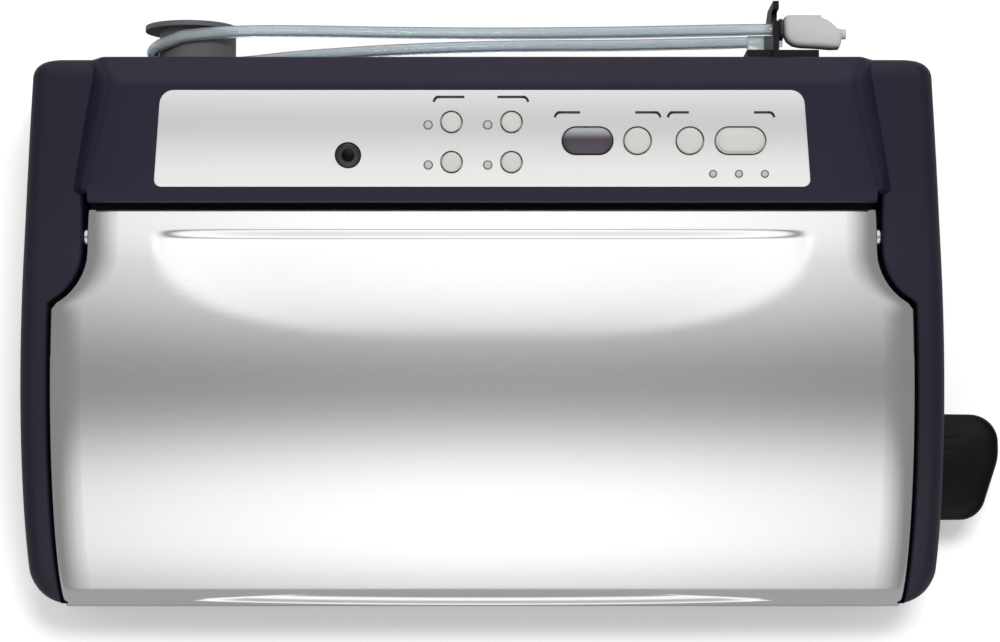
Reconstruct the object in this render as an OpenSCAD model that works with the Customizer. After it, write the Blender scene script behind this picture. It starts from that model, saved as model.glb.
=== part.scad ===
// Countertop vacuum sealer: black housing with a tilted control pod, a domed silver lid hinged in
// front of it, a side lever that draws the lid down, and an accessory hose stowed on the rear wall.
// Body frame: X right, Y to the rear, Z up, centred on the housing, feet standing on Z = 0.

/* [Body] */
// Width of the housing across its bowed sides
body_w = 419; // [413:1:425]
// Depth from the rear wall to the front of the lid
body_d = 248; // [245:1:254]
// Radius of the bow of each side, seen from above
side_bow_r = 2000; // [1400:10:2600]
// Plastic wall of the base and the housing
wall = 2.5; // [2:0.1:2.8]
// Height of the parting line between base and housing
parting_z = 32; // [30:0.5:33]
// Height that the rubber feet hold the base off the table
foot_h = 3; // [2:0.5:4]
// Diameter of a rubber foot
foot_d = 18; // [14:1:22]
// Radius of the rear corners, seen from above
rear_corner_r = 8; // [4:1:12]
// Radius of the front corners, seen from above
front_corner_r = 16; // [10:1:18]

/* [Control pod] */
// Height of the pod's rear crease above the table
pod_h = 117; // [115:1:120]
// Depth from the rear wall to the pod's front wall
pod_d = 61; // [60:0.5:62]
// Tilt of the control panel towards the user, in degrees
panel_tilt = 14; // [12:1:15]
// Width of the pod at its rear crease
pod_w = 332; // [320:1:340]
// Depth of the silver plate's seat in the pod
plate_seat = 0.8; // [0.5:0.1:1]
// Thickness of the silver control plate
plate_t = 1; // [0.8:0.1:1.2]
// Width of the silver control plate at its lower edge
plate_w = 294.5; // [288:0.5:300]
// Height of the silver control plate along the slope
plate_h = 43.3; // [42:0.1:45]

/* [Buttons and port] */
// Radius of a small round button
small_button_r = 4.5; // [4:0.1:4.8]
// Radius of a large round button and of the ends of a long one
large_button_r = 5.9; // [5.5:0.1:6.3]
// Length of a long button
long_button_l = 22.1; // [18:0.1:23]
// Gap between a button and its hole
button_gap = 0.65; // [0.4:0.05:0.9]
// Height of a button above the plate
button_rise = 1.3; // [0.9:0.1:1.8]
// Travel of a button
button_travel = 0.8; // [0.5:0.1:0.9]
// Radius of an indicator window
lens_r = 2.05; // [1.5:0.05:2.3]
// Outer radius of the accessory port
port_r = 5.6; // [4.8:0.1:6]
// Radius of the accessory port's bore
port_bore_r = 2.6; // [2.2:0.1:3]

/* [Lid] */
// Height of the lid's crest above the table
lid_h = 98; // [96.5:0.5:100]
// Height of the lid's lower edge
lid_edge_z = 45.5; // [45:0.5:48]
// Wall of the silver lid cover
lid_wall = 2.4; // [2:0.1:2.8]
// Distance from the housing's widest side to the lid's hinge shoulder
shoulder_set = 31.3; // [30:0.1:33.5]
// Width of each housing rail beside the lid
rail_w = 14.5; // [13.5:0.1:16]
// Gap between the lid and the rails
rail_gap = 1.6; // [1.2:0.1:2]
// Gap between the lid and the housing at the hinges
hinge_gap = 2.4; // [2:0.1:3]
// Gap between the lid's rear edge and the pod
rear_gap = 6.8; // [6.2:0.1:7.4]
// Radius of the concave shoulders where the lid widens
shoulder_r = 28.5; // [26:0.5:30]
// Depth of the scoop in the lid's top, at its rear step
scoop_depth = 5; // [3:0.5:6]
// Half width of the scoop
scoop_half_w = 147; // [135:1:150]
// Depth of the finger groove along the lid's front
groove_depth = 1.2; // [0.8:0.1:1.4]
// Radius of the hinge pins
hinge_pin_r = 3; // [2.5:0.1:3.4]
// Radius of the lid's hinge barrels
barrel_r = 5.2; // [4.8:0.1:5.4]

/* [Vacuum channel] */
// Height of the front deck
deck_z = 46; // [45:0.5:46]
// Height of the rear deck, over the pump
rear_deck_z = 70; // [68:0.5:71]
// Distance from the housing's widest side to the centre of the gasket's round end
gasket_set = 60.5; // [58:0.5:68]
// Outer radius of the gasket's round ends
gasket_r = 21; // [19:0.5:21.5]
// Width of the gasket
gasket_w = 6; // [4:0.5:6.5]
// Depth of the drip tray's well below the deck
well_depth = 15; // [12:0.5:17]
// Wall of the drip tray
tray_wall = 1.5; // [1:0.1:2]
// Distance from the housing's widest side to the end of the heated sealing bar
seal_set = 41.5; // [36:0.5:50]
// Width of the heated sealing bar
seal_w = 8; // [6:0.5:8.5]

/* [Latch] */
// Radius of the latch shaft
shaft_r = 4; // [3.5:0.1:4.2]
// Height of the latch shaft
shaft_z = 38; // [37.5:0.25:38.5]
// Reach of the lever beyond the housing's side
lever_reach = 32; // [28:0.5:36]
// Thickness of the lever's blade
lever_t = 9; // [8:0.5:11]
// Thickness of a latch hook
hook_t = 5; // [4:0.5:5.5]

/* [Hose storage] */
// Outer diameter of the accessory hose
hose_d = 5.5; // [5:0.1:6]
// Radius of the spool's core
spool_r = 14.5; // [13:0.5:14.5]
// Radius of the spool's flange
flange_r = 21; // [20:0.5:23]
// Distance from the rear wall to the far face of the spool's flange
spool_out = 18; // [17.5:0.5:20]
// Reach of the hose clip beyond the rear wall
clip_reach = 26; // [24:0.5:29]
// Thickness of the hose clip's fin
fin_t = 2.6; // [2:0.1:3]

/* [Hidden] */
$fn = 48;
eps = 0.01;
fit = 0.3;
shaft_play = 0.06;
port_play = 0.05;

// Fixed lines of the body, worked out from the sizes above.
y_rear = body_d / 2;
y_front = -body_d / 2;
y_body_front = y_front + 1.5;
bow_y = -40;
y_pod_front = y_rear - pod_d;
y_lid_rear = y_pod_front - rear_gap;
hinge_half = body_w / 2 - shoulder_set;
gasket_half_l = body_w / 2 - gasket_set;
seal_l = body_w - 2 * seal_set;
hinge_y = y_lid_rear - 11.7;
hinge_z = lid_h - 12;
crest_y = hinge_y - 12;
floor_z = foot_h + wall;
shoulder_y = hinge_y - 6.5;
pod_crease_y = y_rear - 12.6;
panel_y = (pod_crease_y + y_pod_front) / 2 - 1.1;
lip_y = y_pod_front - 4.6;
lip_z = lid_h + 1.2;
panel_z = pod_h - (pod_crease_y - panel_y) * tan(panel_tilt);
seal_y = y_front + 16;
channel_y = y_front + 45;
shaft_y = y_front + 72;
riser_y = shaft_y + 16.5;
hook_x = hinge_half + 5.8;
shaft_end_x = side_x(shaft_y) - rail_w + rail_gap + wall + 2.2;
pin_orbit = 10;
catch_pin_r = 1.5;
hook_in_r = pin_orbit + catch_pin_r + fit;
hook_out_r = hook_in_r + 2.5;
spool_x = -134;
spool_z = 77;
hose_r = hose_d / 2;
turn_r = spool_r + hose_r + 0.25;
clip_x = 132.7;
clip_top_z = spool_z + turn_r;
clip_low_z = spool_z - turn_r;
hose_y = y_rear + 14;

// Half width of the housing at depth y.
function side_x(y) = body_w / 2 - pow(y - bow_y, 2) / (2 * side_bow_r);

// Points of an arc.
function arc(c, r, a0, a1, n) =
    [for (i = [0:n]) let (a = a0 + (a1 - a0) * i / n) c + r * [cos(a), sin(a)]];

// Arc that rounds the corner b between its neighbours a and c.
function corner(a, b, c, r, n) =
    let (u = (a - b) / norm(a - b), v = (c - b) / norm(c - b), half = acos(u * v) / 2)
    let (p = b + u * r / tan(half), q = b + v * r / tan(half), o = b + (u + v) / norm(u + v) * r / sin(half))
    let (a0 = atan2(p[1] - o[1], p[0] - o[0]), a1 = atan2(q[1] - o[1], q[0] - o[0]))
    arc(o, r, a0, a0 + (a1 - a0 + 540) % 360 - 180, n);

// Polygon p with each corner rounded by its radius in r.
function rounded(p, r, n = 5) = let (m = len(p)) [for (i = [0:m - 1])
    each r[i] == 0 ? [p[i]] : corner(p[(i + m - 1) % m], p[i], p[(i + 1) % m], r[i], n)];

// A right half outline and its mirror image, as one closed outline.
function both_sides(half) =
    concat(half, [for (i = [len(half) - 1:-1:0]) [-half[i][0], half[i][1]]]);

// Outline of the housing, taken in by inset.
function body_outline(inset) =
    let (n = 8, y0 = y_body_front + inset, y1 = y_rear - inset)
    let (half = [for (i = [0:n]) let (y = y0 + (y1 - y0) * i / n) [side_x(y) - inset, y]])
    let (rf = max(front_corner_r - inset, 1), rr = max(rear_corner_r - inset, 1), m = 2 * n + 2)
    let (radii = [for (i = [0:m - 1]) i == 0 || i == m - 1 ? rf : i == n || i == n + 1 ? rr : 0])
    rounded(both_sides(half), radii);

// Outline of the lid, grown by g at the rails, gh at the hinge shoulders, gf in front and gr at the rear.
function lid_outline(g, gh, gf, gr) =
    let (c = [hinge_half + shoulder_r, shoulder_y], r = shoulder_r - gh, n = 8)
    let (y0 = y_front - gf, bend = acos((c[0] - side_x(bow_y) + rail_w - g) / r))
    let (y1 = c[1] - r * sin(bend) - 1)
    let (side = [for (i = [0:n]) let (y = y0 + (y1 - y0) * i / n) [side_x(y) - rail_w + g, y]])
    let (half = concat(side, arc(c, r, 180 + bend, 180, 8), [[hinge_half + gh, y_lid_rear + gr]]))
    both_sides(half);

// Side view of the lid's top surface, taken in by inset, from its front edge to its rear edge.
function lid_curve(inset, n = 14) =
    let (p = 2 / 2.1, a = crest_y - y_front - inset, b = lid_h - lid_edge_z - inset)
    concat([for (i = [0:n]) let (t = 90 - 90 * i / n)
            [crest_y - a * pow(sin(t), p), lid_edge_z + b * pow(cos(t), p)]],
        [for (i = [1:4]) let (s = i / 4)
            [crest_y + (y_lid_rear - inset - crest_y) * s, lid_h - inset - 1.5 * s * s]]);

// Side view of the rails and shoulders of the housing, taken in by inset.
function rail_curve(inset) =
    let (drop = 3 + inset, c = lid_curve(0), n = len(c) - 5)
    concat([for (i = [0:n]) [max(c[i][0], y_body_front + inset), c[i][1] - drop * min(1, i / 3)]],
        corner([crest_y, lid_h - drop], [y_pod_front - 2, lid_h - drop], [y_rear, lid_h + 9 - drop], 40, 4),
        corner([y_pod_front, lid_h - drop], [y_rear - inset, lid_h + 8 - drop],
            [y_rear - inset, parting_z], 9, 4));

// A solid whose side view is the polygon p and whose half width is w.
module across(p, w) {
    translate([-w, 0, 0]) rotate([90, 0, 90]) linear_extrude(2 * w) polygon(p);
}

// An upright solid on the outline p, from z0 to z1.
module upright(p, z0, z1) {
    translate([0, 0, z0]) linear_extrude(z1 - z0) polygon(p);
}

// A cylinder along X from x0 to x1 at (y, z).
module rod_x(x0, x1, y, z, r) {
    translate([min(x0, x1), y, z]) rotate([0, 90, 0]) cylinder(h = abs(x1 - x0), r = r);
}

// A cylinder along Y from y0 to y1 at (x, z).
module rod_y(y0, y1, x, z, r) {
    translate([x, y1, z]) rotate([90, 0, 0]) cylinder(h = y1 - y0, r = r);
}

// A long shape with round ends: straight part 2 * half along X, end radius r.
module stadium(half, r) {
    if (half > 0) {
        square([2 * half, 2 * r], center = true);
        for (s = [-1, 1]) translate([s * half, 0]) circle(r = r);
    } else {
        circle(r = r);
    }
}

// A box with its lower corner at a and its upper corner at b.
module block(a, b) {
    translate(a) cube(b - a);
}

// An upright cylinder at p from z0 to z1.
module post(p, z0, z1, r) {
    translate([p[0], p[1], z0]) cylinder(h = z1 - z0, r = r);
}

// Children drawn on both sides of the middle.
module mirrored() {
    children();
    mirror([1, 0, 0]) children();
}

// Children drawn in the control panel's own plane: X right, Y up the slope, Z out of the panel.
module on_panel() {
    translate([0, panel_y, panel_z]) rotate([panel_tilt, 0, 0]) children();
}

// The place of a point given in the control panel's own plane.
function panel_point(x, v, w) = [x, panel_y + v * cos(panel_tilt) - w * sin(panel_tilt),
    panel_z + v * sin(panel_tilt) + w * cos(panel_tilt)];

// A closed tube of radius r along the points p, each ring turned square to the route.
module swept(p, r, sides = 8) {
    n = len(p);
    function dir(i) = let (d = p[min(i + 1, n - 1)] - p[max(i - 1, 0)]) d / norm(d);
    function side(i) = let (s = cross(dir(i), [0, 1, 0.02])) s / norm(s);
    rings = [for (i = [0:n - 1]) let (s = side(i), u = cross(s, dir(i)))
        for (k = [0:sides - 1]) p[i] + r * (s * cos(360 * k / sides) + u * sin(360 * k / sides))];
    walls = [for (i = [0:n - 2]) for (k = [0:sides - 1])
        let (a = i * sides + k, b = i * sides + (k + 1) % sides)
        each [[a, b, b + sides], [a, b + sides, a + sides]]];
    caps = [[for (k = [sides - 1:-1:0]) k], [for (k = [0:sides - 1]) (n - 1) * sides + k]];
    polyhedron(points = rings, faces = concat(walls, caps));
}

// Points of a smooth curve through the route's own points.
function smooth(p, n) = [for (i = [0:len(p) - 2]) for (k = [0:i == len(p) - 2 ? n : n - 1])
    let (t = k / n, a = p[max(i - 1, 0)], b = p[i], c = p[i + 1], d = p[min(i + 2, len(p) - 1)])
    0.5 * (2 * b + (c - a) * t + (2 * a - 5 * b + 4 * c - d) * t * t + (3 * b - a - 3 * c + d) * t * t * t)];

// ---------------------------------------------------------------- places shared by several pieces

long_half = long_button_l / 2 - large_button_r;
small_buttons = [["fast", -13.7, 7.4], ["normal", -13.7, -10.6], ["moist", 13.1, 7.4], ["dry", 13.1, -10.6]];
round_buttons = [["canister", 69.4, -1], ["pulse", 92.8, -1]];
long_buttons = [["vacuum_seal", 47.1, -1], ["seal", 115.4, -1]];
setting_lenses = [for (x = [-24.1, 2.5]) for (y = [6.1, -11.9]) [x, y, lens_r]];
progress_lenses = [for (i = [0:2]) [103.4 + 11.6 * i, -15.9, lens_r - 0.3]];
lenses = concat(setting_lenses, progress_lenses);
port_at = [-60, -7.5];
port_gap = 0.35;
port_end = -22;
foot_places = [for (x = [-1, 1]) for (y = [-1, 1]) [x * (body_w / 2 - 38), y * (body_d / 2 - 32)]];
screw_places = [for (x = [-1, 1]) for (y = [y_rear - 14, shoulder_y - 10]) [x * (side_x(y) - wall - 7.5), y]];
deck_post_places = [for (x = [-1, 1]) for (y = [riser_y + 12, y_pod_front - 10]) [x * 150, y]];
lid_screw_places = [for (x = [-1, 1]) for (y = [channel_y + 9, riser_y + 20]) [x * 100, y]];
board_places = [[-34, 14], [-34, -14], [134, 14], [134, -10]];
board_z = -13;
hub_x = side_x(shaft_y) + 0.9;

// ---------------------------------------------------------------- base and housing

module base_shell() {
    chamfer = 5;
    rings = [body_outline(chamfer), body_outline(0)];
    n = len(rings[0]);
    points = concat([for (p = rings[0]) [p[0], p[1], foot_h]],
        [for (p = rings[1]) [p[0], p[1], foot_h + chamfer]]);
    walls = [for (k = [0:n - 1]) let (j = (k + 1) % n) each [[k, k + n, j], [j, k + n, j + n]]];
    polyhedron(points = points,
        faces = concat(walls, [[for (k = [0:n - 1]) k], [for (k = [n - 1:-1:0]) n + k]]));
    upright(body_outline(0), foot_h + chamfer, parting_z);
}

// Rib that ties a screw post to the side wall.
module screw_rib(p, z0, z1) {
    side = sign(p[0]) * (side_x(p[1]) - 1);
    block([min(p[0], side), p[1] - 1, z0], [max(p[0], side), p[1] + 1, z1]);
}

module base_pan() color([0.13, 0.12, 0.15]) {
    post_r = 4;
    difference() {
        union() {
            difference() {
                base_shell();
                upright(body_outline(7), floor_z, floor_z + 6);
                upright(body_outline(wall), floor_z + 5, parting_z + 1);
            }
            for (p = screw_places) {
                translate([p[0], p[1], foot_h + 1]) cylinder(h = parting_z - foot_h - 1, r = post_r);
                screw_rib(p, foot_h + 6, parting_z);
            }
            for (p = deck_post_places) translate([p[0], p[1], foot_h + 1]) cylinder(h = 20, r = post_r);
            for (x = [motor_x0 + 8, motor_x1 - 8])
                block([x - 2, motor_y - 14, foot_h + 1], [x + 2, motor_y + 14, motor_z - 4]);
            block([head_x0, motor_y - 12, foot_h + 1], [head_x1, motor_y + 12, head_z0]);
            for (p = board_posts) post(p, foot_h + 1, power_z, 3);
            block([valve_x - 9, motor_y - 9, foot_h + 1], [valve_x + 9, motor_y + 9, valve_z0]);
        }
        rod_x(motor_x0, motor_x1, motor_y, motor_z, motor_r);
        for (p = foot_places) translate([p[0], p[1], foot_h - 1]) cylinder(h = 2, r = foot_d / 2);
        for (p = concat(screw_places, deck_post_places)) translate([p[0], p[1], 0]) {
            cylinder(h = parting_z + 1, r = 1.7);
            translate([0, 0, foot_h - 1]) cylinder(h = 3, r = 3.6);
        }
        for (p = board_posts) translate([p[0], p[1], power_z - 8]) cylinder(h = 9, r = 1.2);
        rod_y(y_rear - wall - 1, y_rear + 1, gland_x, gland_z, 6);
    }
}

module rubber_feet() color([0.08, 0.08, 0.08]) {
    for (p = foot_places) translate([p[0], p[1], 0]) difference() {
        cylinder(h = foot_h + 1, r = foot_d / 2);
        translate([0, 0, -1]) cylinder(h = 2, r = foot_d / 2 - 4);
    }
}

module base_screws() color([0.7, 0.7, 0.72]) {
    for (p = concat(screw_places, deck_post_places)) translate([p[0], p[1], 0]) difference() {
        union() {
            translate([0, 0, foot_h + 0.2]) cylinder(h = 1.8, r = 3.2);
            translate([0, 0, foot_h + 1]) cylinder(h = screw_top(p) - foot_h - 1, r = 1.4);
        }
        for (a = [0, 90]) rotate([0, 0, a]) translate([-2, -0.4, foot_h]) cube([4, 0.8, 1]);
    }
}
// Screws into the housing end in its bosses, and those into the deck end in its posts.
function screw_top(p) = abs(p[0]) > 170 ? parting_z + 12 : parting_z;

// The control pod above the shoulders, with its lip over the lid's rear edge, taken in by inset.
module pod_solid(inset) {
    plan_turn = 5.5;
    side_slope = 34;
    front_y = y_pod_front + inset;
    edge_y = lip_y + inset;
    edge_z = pod_h - inset - (pod_crease_y - edge_y) * tan(panel_tilt);
    p = [[front_y, parting_z], [y_rear - inset, parting_z], [y_rear - inset, pod_h - 11 - inset],
        [pod_crease_y, pod_h - inset], [edge_y, edge_z], [edge_y, lip_z], [front_y, lip_z]];
    difference() {
        across(rounded(p, [0, 0, 4, 6, max(2.5 - inset, 0.5), 0.5, 0.3], 4), hinge_half + 16);
        mirrored() translate([pod_w / 2 - inset, pod_crease_y, pod_h]) rotate([0, 0, plan_turn])
            rotate([0, -side_slope, 0]) translate([0, -140, -120]) cube([80, 280, 240]);
    }
}

module housing_outer(inset) {
    intersection() {
        upright(body_outline(inset), parting_z - 0.5, pod_h + 20);
        union() {
            across(concat(rail_curve(inset),
                [[y_rear - inset, parting_z - 1], [y_body_front + inset, parting_z - 1]]), body_w / 2 + 1);
            pod_solid(inset);
        }
    }
}

module upper_housing() color([0.16, 0.15, 0.19]) {
    ledge_z = deck_z - wall;
    bar_y = y_body_front + 4;
    difference() {
        union() {
            difference() {
                intersection() {
                    housing_outer(0);
                    block([-body_w, -body_d, parting_z], [body_w, body_d, 200]);
                }
                difference() {
                    housing_outer(wall);
                    upright(lid_outline(rail_gap + wall, hinge_gap + wall, 20, rear_gap + wall), 0, 200);
                }
                // the lid's bay, open at the bottom for the deck
                upright(lid_outline(rail_gap, hinge_gap, -5.5, rear_gap), 0, 200);
                upright(lid_outline(rail_gap, hinge_gap, 20, rear_gap), lid_edge_z - 1.3, 200);
            }
            // ledges that carry the deck along both rails and the front bar
            intersection() {
                difference() {
                    upright(lid_outline(rail_gap + 1, hinge_gap + 1, -5, rear_gap), ledge_z - 3, ledge_z);
                    block([-hook_x - 5.5, bar_y + 4, 0], [hook_x + 5.5, y_rear, 200]);
                }
                block([-body_w, y_front, 0], [body_w, shoulder_y - 30, 200]);
            }
            mirrored() rod_x(hinge_half + hinge_gap, hinge_half + hinge_gap + 9, hinge_y, hinge_z, 7);
            intersection() {
                pod_solid(0);
                block([-hinge_half + 1, lip_y - 1, lip_z], [hinge_half - 1, y_pod_front + 1, pod_h]);
            }
            for (p = screw_places) {
                translate([p[0], p[1], parting_z]) cylinder(h = 16, r = 4);
                screw_rib(p, parting_z, parting_z + 16);
            }
            intersection() {
                on_panel() for (p = board_places) translate([p[0], p[1], board_z]) cylinder(h = 12, r = 3);
                pod_solid(1);
            }
        }
        mirrored() rod_x(hinge_half - 1, hinge_half + hinge_gap + 8.5, hinge_y, hinge_z, hinge_pin_r);
        for (p = screw_places) translate([p[0], p[1], parting_z - 1]) cylinder(h = 14, r = 1.4);
        rod_x(-shaft_end_x - 2, -hook_x - 4, shaft_y, shaft_z, shaft_r + shaft_play);
        rod_x(hook_x + 4, body_w / 2 + 16, shaft_y, shaft_z, shaft_r + shaft_play);
        on_panel() {
            panel_holes(0);
            translate([0, 0, -plate_seat]) linear_extrude(10) polygon(plate_outline(0.15));
            for (p = board_places) translate([p[0], p[1], board_z - 1]) cylinder(h = 9, r = 1.1);
        }
        // window for the tube and the wires into the pod
        block([-75, y_pod_front - 1, 36], [-45, y_pod_front + wall + 1, rear_deck_z - wall - 1.5]);
        rod_y(y_rear - wall - 1, y_rear + 1, spool_x + 6, spool_z, 1.5);
        for (z = clip_screw_z) rod_y(y_rear - wall - 1, y_rear + 1, clip_x + 10, z, 1.3);
    }
}

module cord_gland() color([0.1, 0.1, 0.1]) {
    difference() {
        union() {
            rod_y(y_rear - wall, y_rear, gland_x, gland_z, 6);
            rod_y(y_rear, y_rear + 2.5, gland_x, gland_z, 8);
            rod_y(y_rear - wall - 3, y_rear - wall, gland_x, gland_z, 7.5);
        }
        rod_y(y_rear - 20, y_rear + 10, gland_x, gland_z, 3.6);
    }
}
gland_x = 90;
gland_z = 20;

// ---------------------------------------------------------------- control panel

// Outline of the silver plate, taken in by inset, wider at its lower edge.
function plate_outline(grow) =
    let (w0 = plate_w / 2 + grow, w1 = plate_w / 2 - 4 + grow, h = plate_h / 2 + grow)
    rounded([[-w0, -h], [w0, -h], [w1, h], [-w1, h]], [3, 3, 6.5, 6.5]);

// All round and long openings of the panel, cut through its wall, with a gap round the port.
module panel_holes(gap) {
    translate([0, 0, -8]) linear_extrude(12) {
        for (b = small_buttons) translate([b[1], b[2]]) circle(r = small_button_r + button_gap);
        for (b = round_buttons) translate([b[1], b[2]]) circle(r = large_button_r + button_gap);
        for (b = long_buttons) translate([b[1], b[2]]) stadium(long_half, large_button_r + button_gap);
        for (p = lenses) translate([p[0], p[1]]) circle(r = p[2]);
        translate(port_at) circle(r = port_r + gap);
    }
}

module control_plate() color([0.8, 0.81, 0.8]) {
    on_panel() difference() {
        translate([0, 0, -plate_seat]) linear_extrude(plate_t) polygon(plate_outline(0));
        panel_holes(port_gap);
    }
}

module indicator_lenses() color([0.72, 0.73, 0.72]) {
    on_panel() for (p = lenses) translate([p[0], p[1], -wall - 5.5])
        cylinder(h = wall + 5.7 + plate_t - plate_seat, r = p[2]);
}

module accessory_port() color([0.18, 0.17, 0.19]) {
    on_panel() translate([port_at[0], port_at[1], 0]) difference() {
        union() {
            translate([0, 0, -wall - 1]) cylinder(h = wall + 1.9, r = port_r);
            translate([0, 0, -16]) cylinder(h = 16 - wall - 0.2, r = port_r - 0.4);
            translate([0, 0, port_end]) cylinder(h = 7, r = 2.4);
        }
        translate([0, 0, -13]) cylinder(h = 20, r = port_bore_r);
        translate([0, 0, port_end - 1]) cylinder(h = 12, r = 1.3);
        translate([0, 0, -0.9]) cylinder(h = 2, r1 = port_bore_r, r2 = port_bore_r + 1.2);
    }
}

module control_board() color([0.1, 0.35, 0.2]) {
    on_panel() difference() {
        translate([-38, -18, board_z - 1.6]) cube([176, 36, 1.6]);
        for (p = board_places) translate([p[0], p[1], board_z - 3]) cylinder(h = 5, r = 1.1);
    }
}

module board_screws() color([0.7, 0.7, 0.72]) {
    on_panel() for (p = board_places) translate([p[0], p[1], board_z - 3.2]) {
        cylinder(h = 1.6, r = 2.4);
        cylinder(h = 8, r = 1.1);
    }
}

module tact_switches() color([0.2, 0.2, 0.2]) {
    on_panel() for (b = concat(small_buttons, round_buttons, long_buttons)) translate([b[1], b[2], board_z]) {
        translate([-3, -3, 0]) cube([6, 6, 3]);
        cylinder(h = 4, r = 1.7);
    }
}

module indicator_leds() color([0.9, 0.9, 0.85]) {
    on_panel() for (p = lenses) translate([p[0], p[1], board_z]) {
        cylinder(h = 1, r = 1.9);
        cylinder(h = 3.5, r = 1.5);
        translate([0, 0, 3.5]) cylinder(h = 1, r1 = 1.5, r2 = 0.8);
    }
}

// A button: its cap in the hole, a collar that keeps it in, and a stem above its switch.
module button(at, r, half, shade) {
    collar_top = -wall - 0.3;
    cap_z = button_rise + plate_t - plate_seat - 0.8;
    stem_z = board_z + 4 + button_travel + 0.1;
    color(shade) on_panel() translate([at[1], at[2], 0]) {
        translate([0, 0, collar_top - 1]) linear_extrude(1.2) stadium(half, r + button_gap + 0.9);
        translate([0, 0, collar_top - 0.5]) linear_extrude(cap_z - collar_top + 0.5) stadium(half, r);
        translate([0, 0, cap_z - eps]) linear_extrude(0.8 + eps) stadium(half, r - 0.6);
        translate([0, 0, stem_z]) cylinder(h = collar_top - 0.5 - stem_z, r = 1.8);
    }
}

smoke = [0.3, 0.29, 0.31];
silver = [0.8, 0.81, 0.82];

module small_button(i) button(small_buttons[i], small_button_r, 0, silver);

module round_button(i) button(round_buttons[i], large_button_r, 0, silver);

module long_button(i, shade) button(long_buttons[i], large_button_r, long_half, shade);

// ---------------------------------------------------------------- deck and vacuum channel

// A bar along the seal, longer by dx at each end and wider by dy on each side than the heater.
module seal_bar(dx, dy, z0, z1) {
    block([-seal_l / 2 - dx, seal_y - seal_w / 2 - dy, z0], [seal_l / 2 + dx, seal_y + seal_w / 2 + dy, z1]);
}

// Side view of the stepped deck plate.
function deck_side(t) = let (y0 = y_body_front + 4.4, y1 = y_pod_front - fit)
    [[y0, deck_z - t], [riser_y, deck_z - t], [riser_y, rear_deck_z - t], [y1, rear_deck_z - t],
    [y1, rear_deck_z], [riser_y - t, rear_deck_z], [riser_y - t, deck_z], [y0, deck_z]];

module deck() color([0.2, 0.19, 0.22]) {
    well_r = gasket_r - gasket_w - 1.5;
    difference() {
        union() {
            intersection() {
                across(deck_side(wall), body_w / 2);
                upright(lid_outline(rail_gap - fit, hinge_gap - fit, -5.9, rear_gap - fit), 0, 200);
            }
            translate([0, channel_y, deck_z - well_depth - wall])
                linear_extrude(well_depth + wall - 0.5) stadium(tray_half, well_r + wall - 0.5);
            translate([0, channel_y, deck_z - wall - 1.2]) linear_extrude(2)
                stadium(gasket_half_l, gasket_r + 0.3);
            seal_bar(3, 2, deck_z - 6, deck_z - 1);
            for (p = deck_post_places) post(p, foot_h + 21, rear_deck_z - 1, 4);
            translate([-inlet_x, channel_y, deck_z - 16]) cylinder(h = 15, r = 2.6);
        }
        translate([0, channel_y, deck_z - well_depth]) linear_extrude(well_depth + 1)
            stadium(tray_half, well_r);
        translate([0, channel_y, deck_z - 1.5]) linear_extrude(3) difference() {
            stadium(gasket_half_l, gasket_r);
            stadium(gasket_half_l, gasket_r - gasket_w);
        }
        seal_bar(0, 0, deck_z - 4, deck_z + 1);
        mirrored() block([hook_x - 6, shaft_y - 16, 0], [hook_x + 6, riser_y - wall - fit, deck_z + 1]);
        for (p = deck_post_places) translate([p[0], p[1], foot_h + 20]) cylinder(h = 12, r = 1.4);
        translate([-inlet_x, channel_y, 0]) cylinder(h = deck_z + 1, r = 1.6);
    }
}
inlet_x = gasket_half_l + 6.5;
tray_half = gasket_half_l - 14;

module drip_tray() color([0.26, 0.26, 0.28]) {
    r = gasket_r - gasket_w - 1.5 - fit;
    half = tray_half;
    base = deck_z - well_depth;
    translate([0, channel_y, base]) difference() {
        linear_extrude(well_depth - 1) stadium(half, r);
        translate([0, 0, tray_wall]) linear_extrude(well_depth) stadium(half, r - tray_wall);
    }
    // finger tabs at both ends
    tab_z = base + well_depth - 2.6;
    tab_x = half + r - tray_wall + 0.5;
    mirrored() block([half - 6, channel_y - 5, tab_z], [tab_x, channel_y + 5, tab_z + 1.6]);
}

module gasket_ring(z0, z1) {
    translate([0, channel_y, z0]) linear_extrude(z1 - z0) difference() {
        stadium(gasket_half_l, gasket_r - 0.1);
        stadium(gasket_half_l, gasket_r - gasket_w + 0.1);
    }
}

module lower_gasket() color([0.1, 0.1, 0.1]) gasket_ring(deck_z - 1.5, seam_z - fit / 2);

module upper_gasket() color([0.1, 0.1, 0.1]) gasket_ring(seam_z + fit / 2, liner_z + 1.5);
seam_z = deck_z + 2.6;
liner_z = deck_z + 5;

module heater_bar() color([0.85, 0.82, 0.75]) {
    seal_bar(-0.1, -0.1, deck_z - 4, deck_z + 0.8);
}

module heating_element() color([0.6, 0.58, 0.55]) {
    block([-seal_l / 2 + 4, seal_y - 1.5, deck_z + 0.8], [seal_l / 2 - 4, seal_y + 1.5, deck_z + 1]);
}

module release_tape() color([0.75, 0.6, 0.42]) {
    difference() {
        seal_bar(-2, -0.6, deck_z + 0.8, deck_z + 1.2);
        block([-seal_l / 2 + 4, seal_y - 1.5, deck_z], [seal_l / 2 - 4, seal_y + 1.5, deck_z + 1]);
    }
}

// ---------------------------------------------------------------- lid

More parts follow.
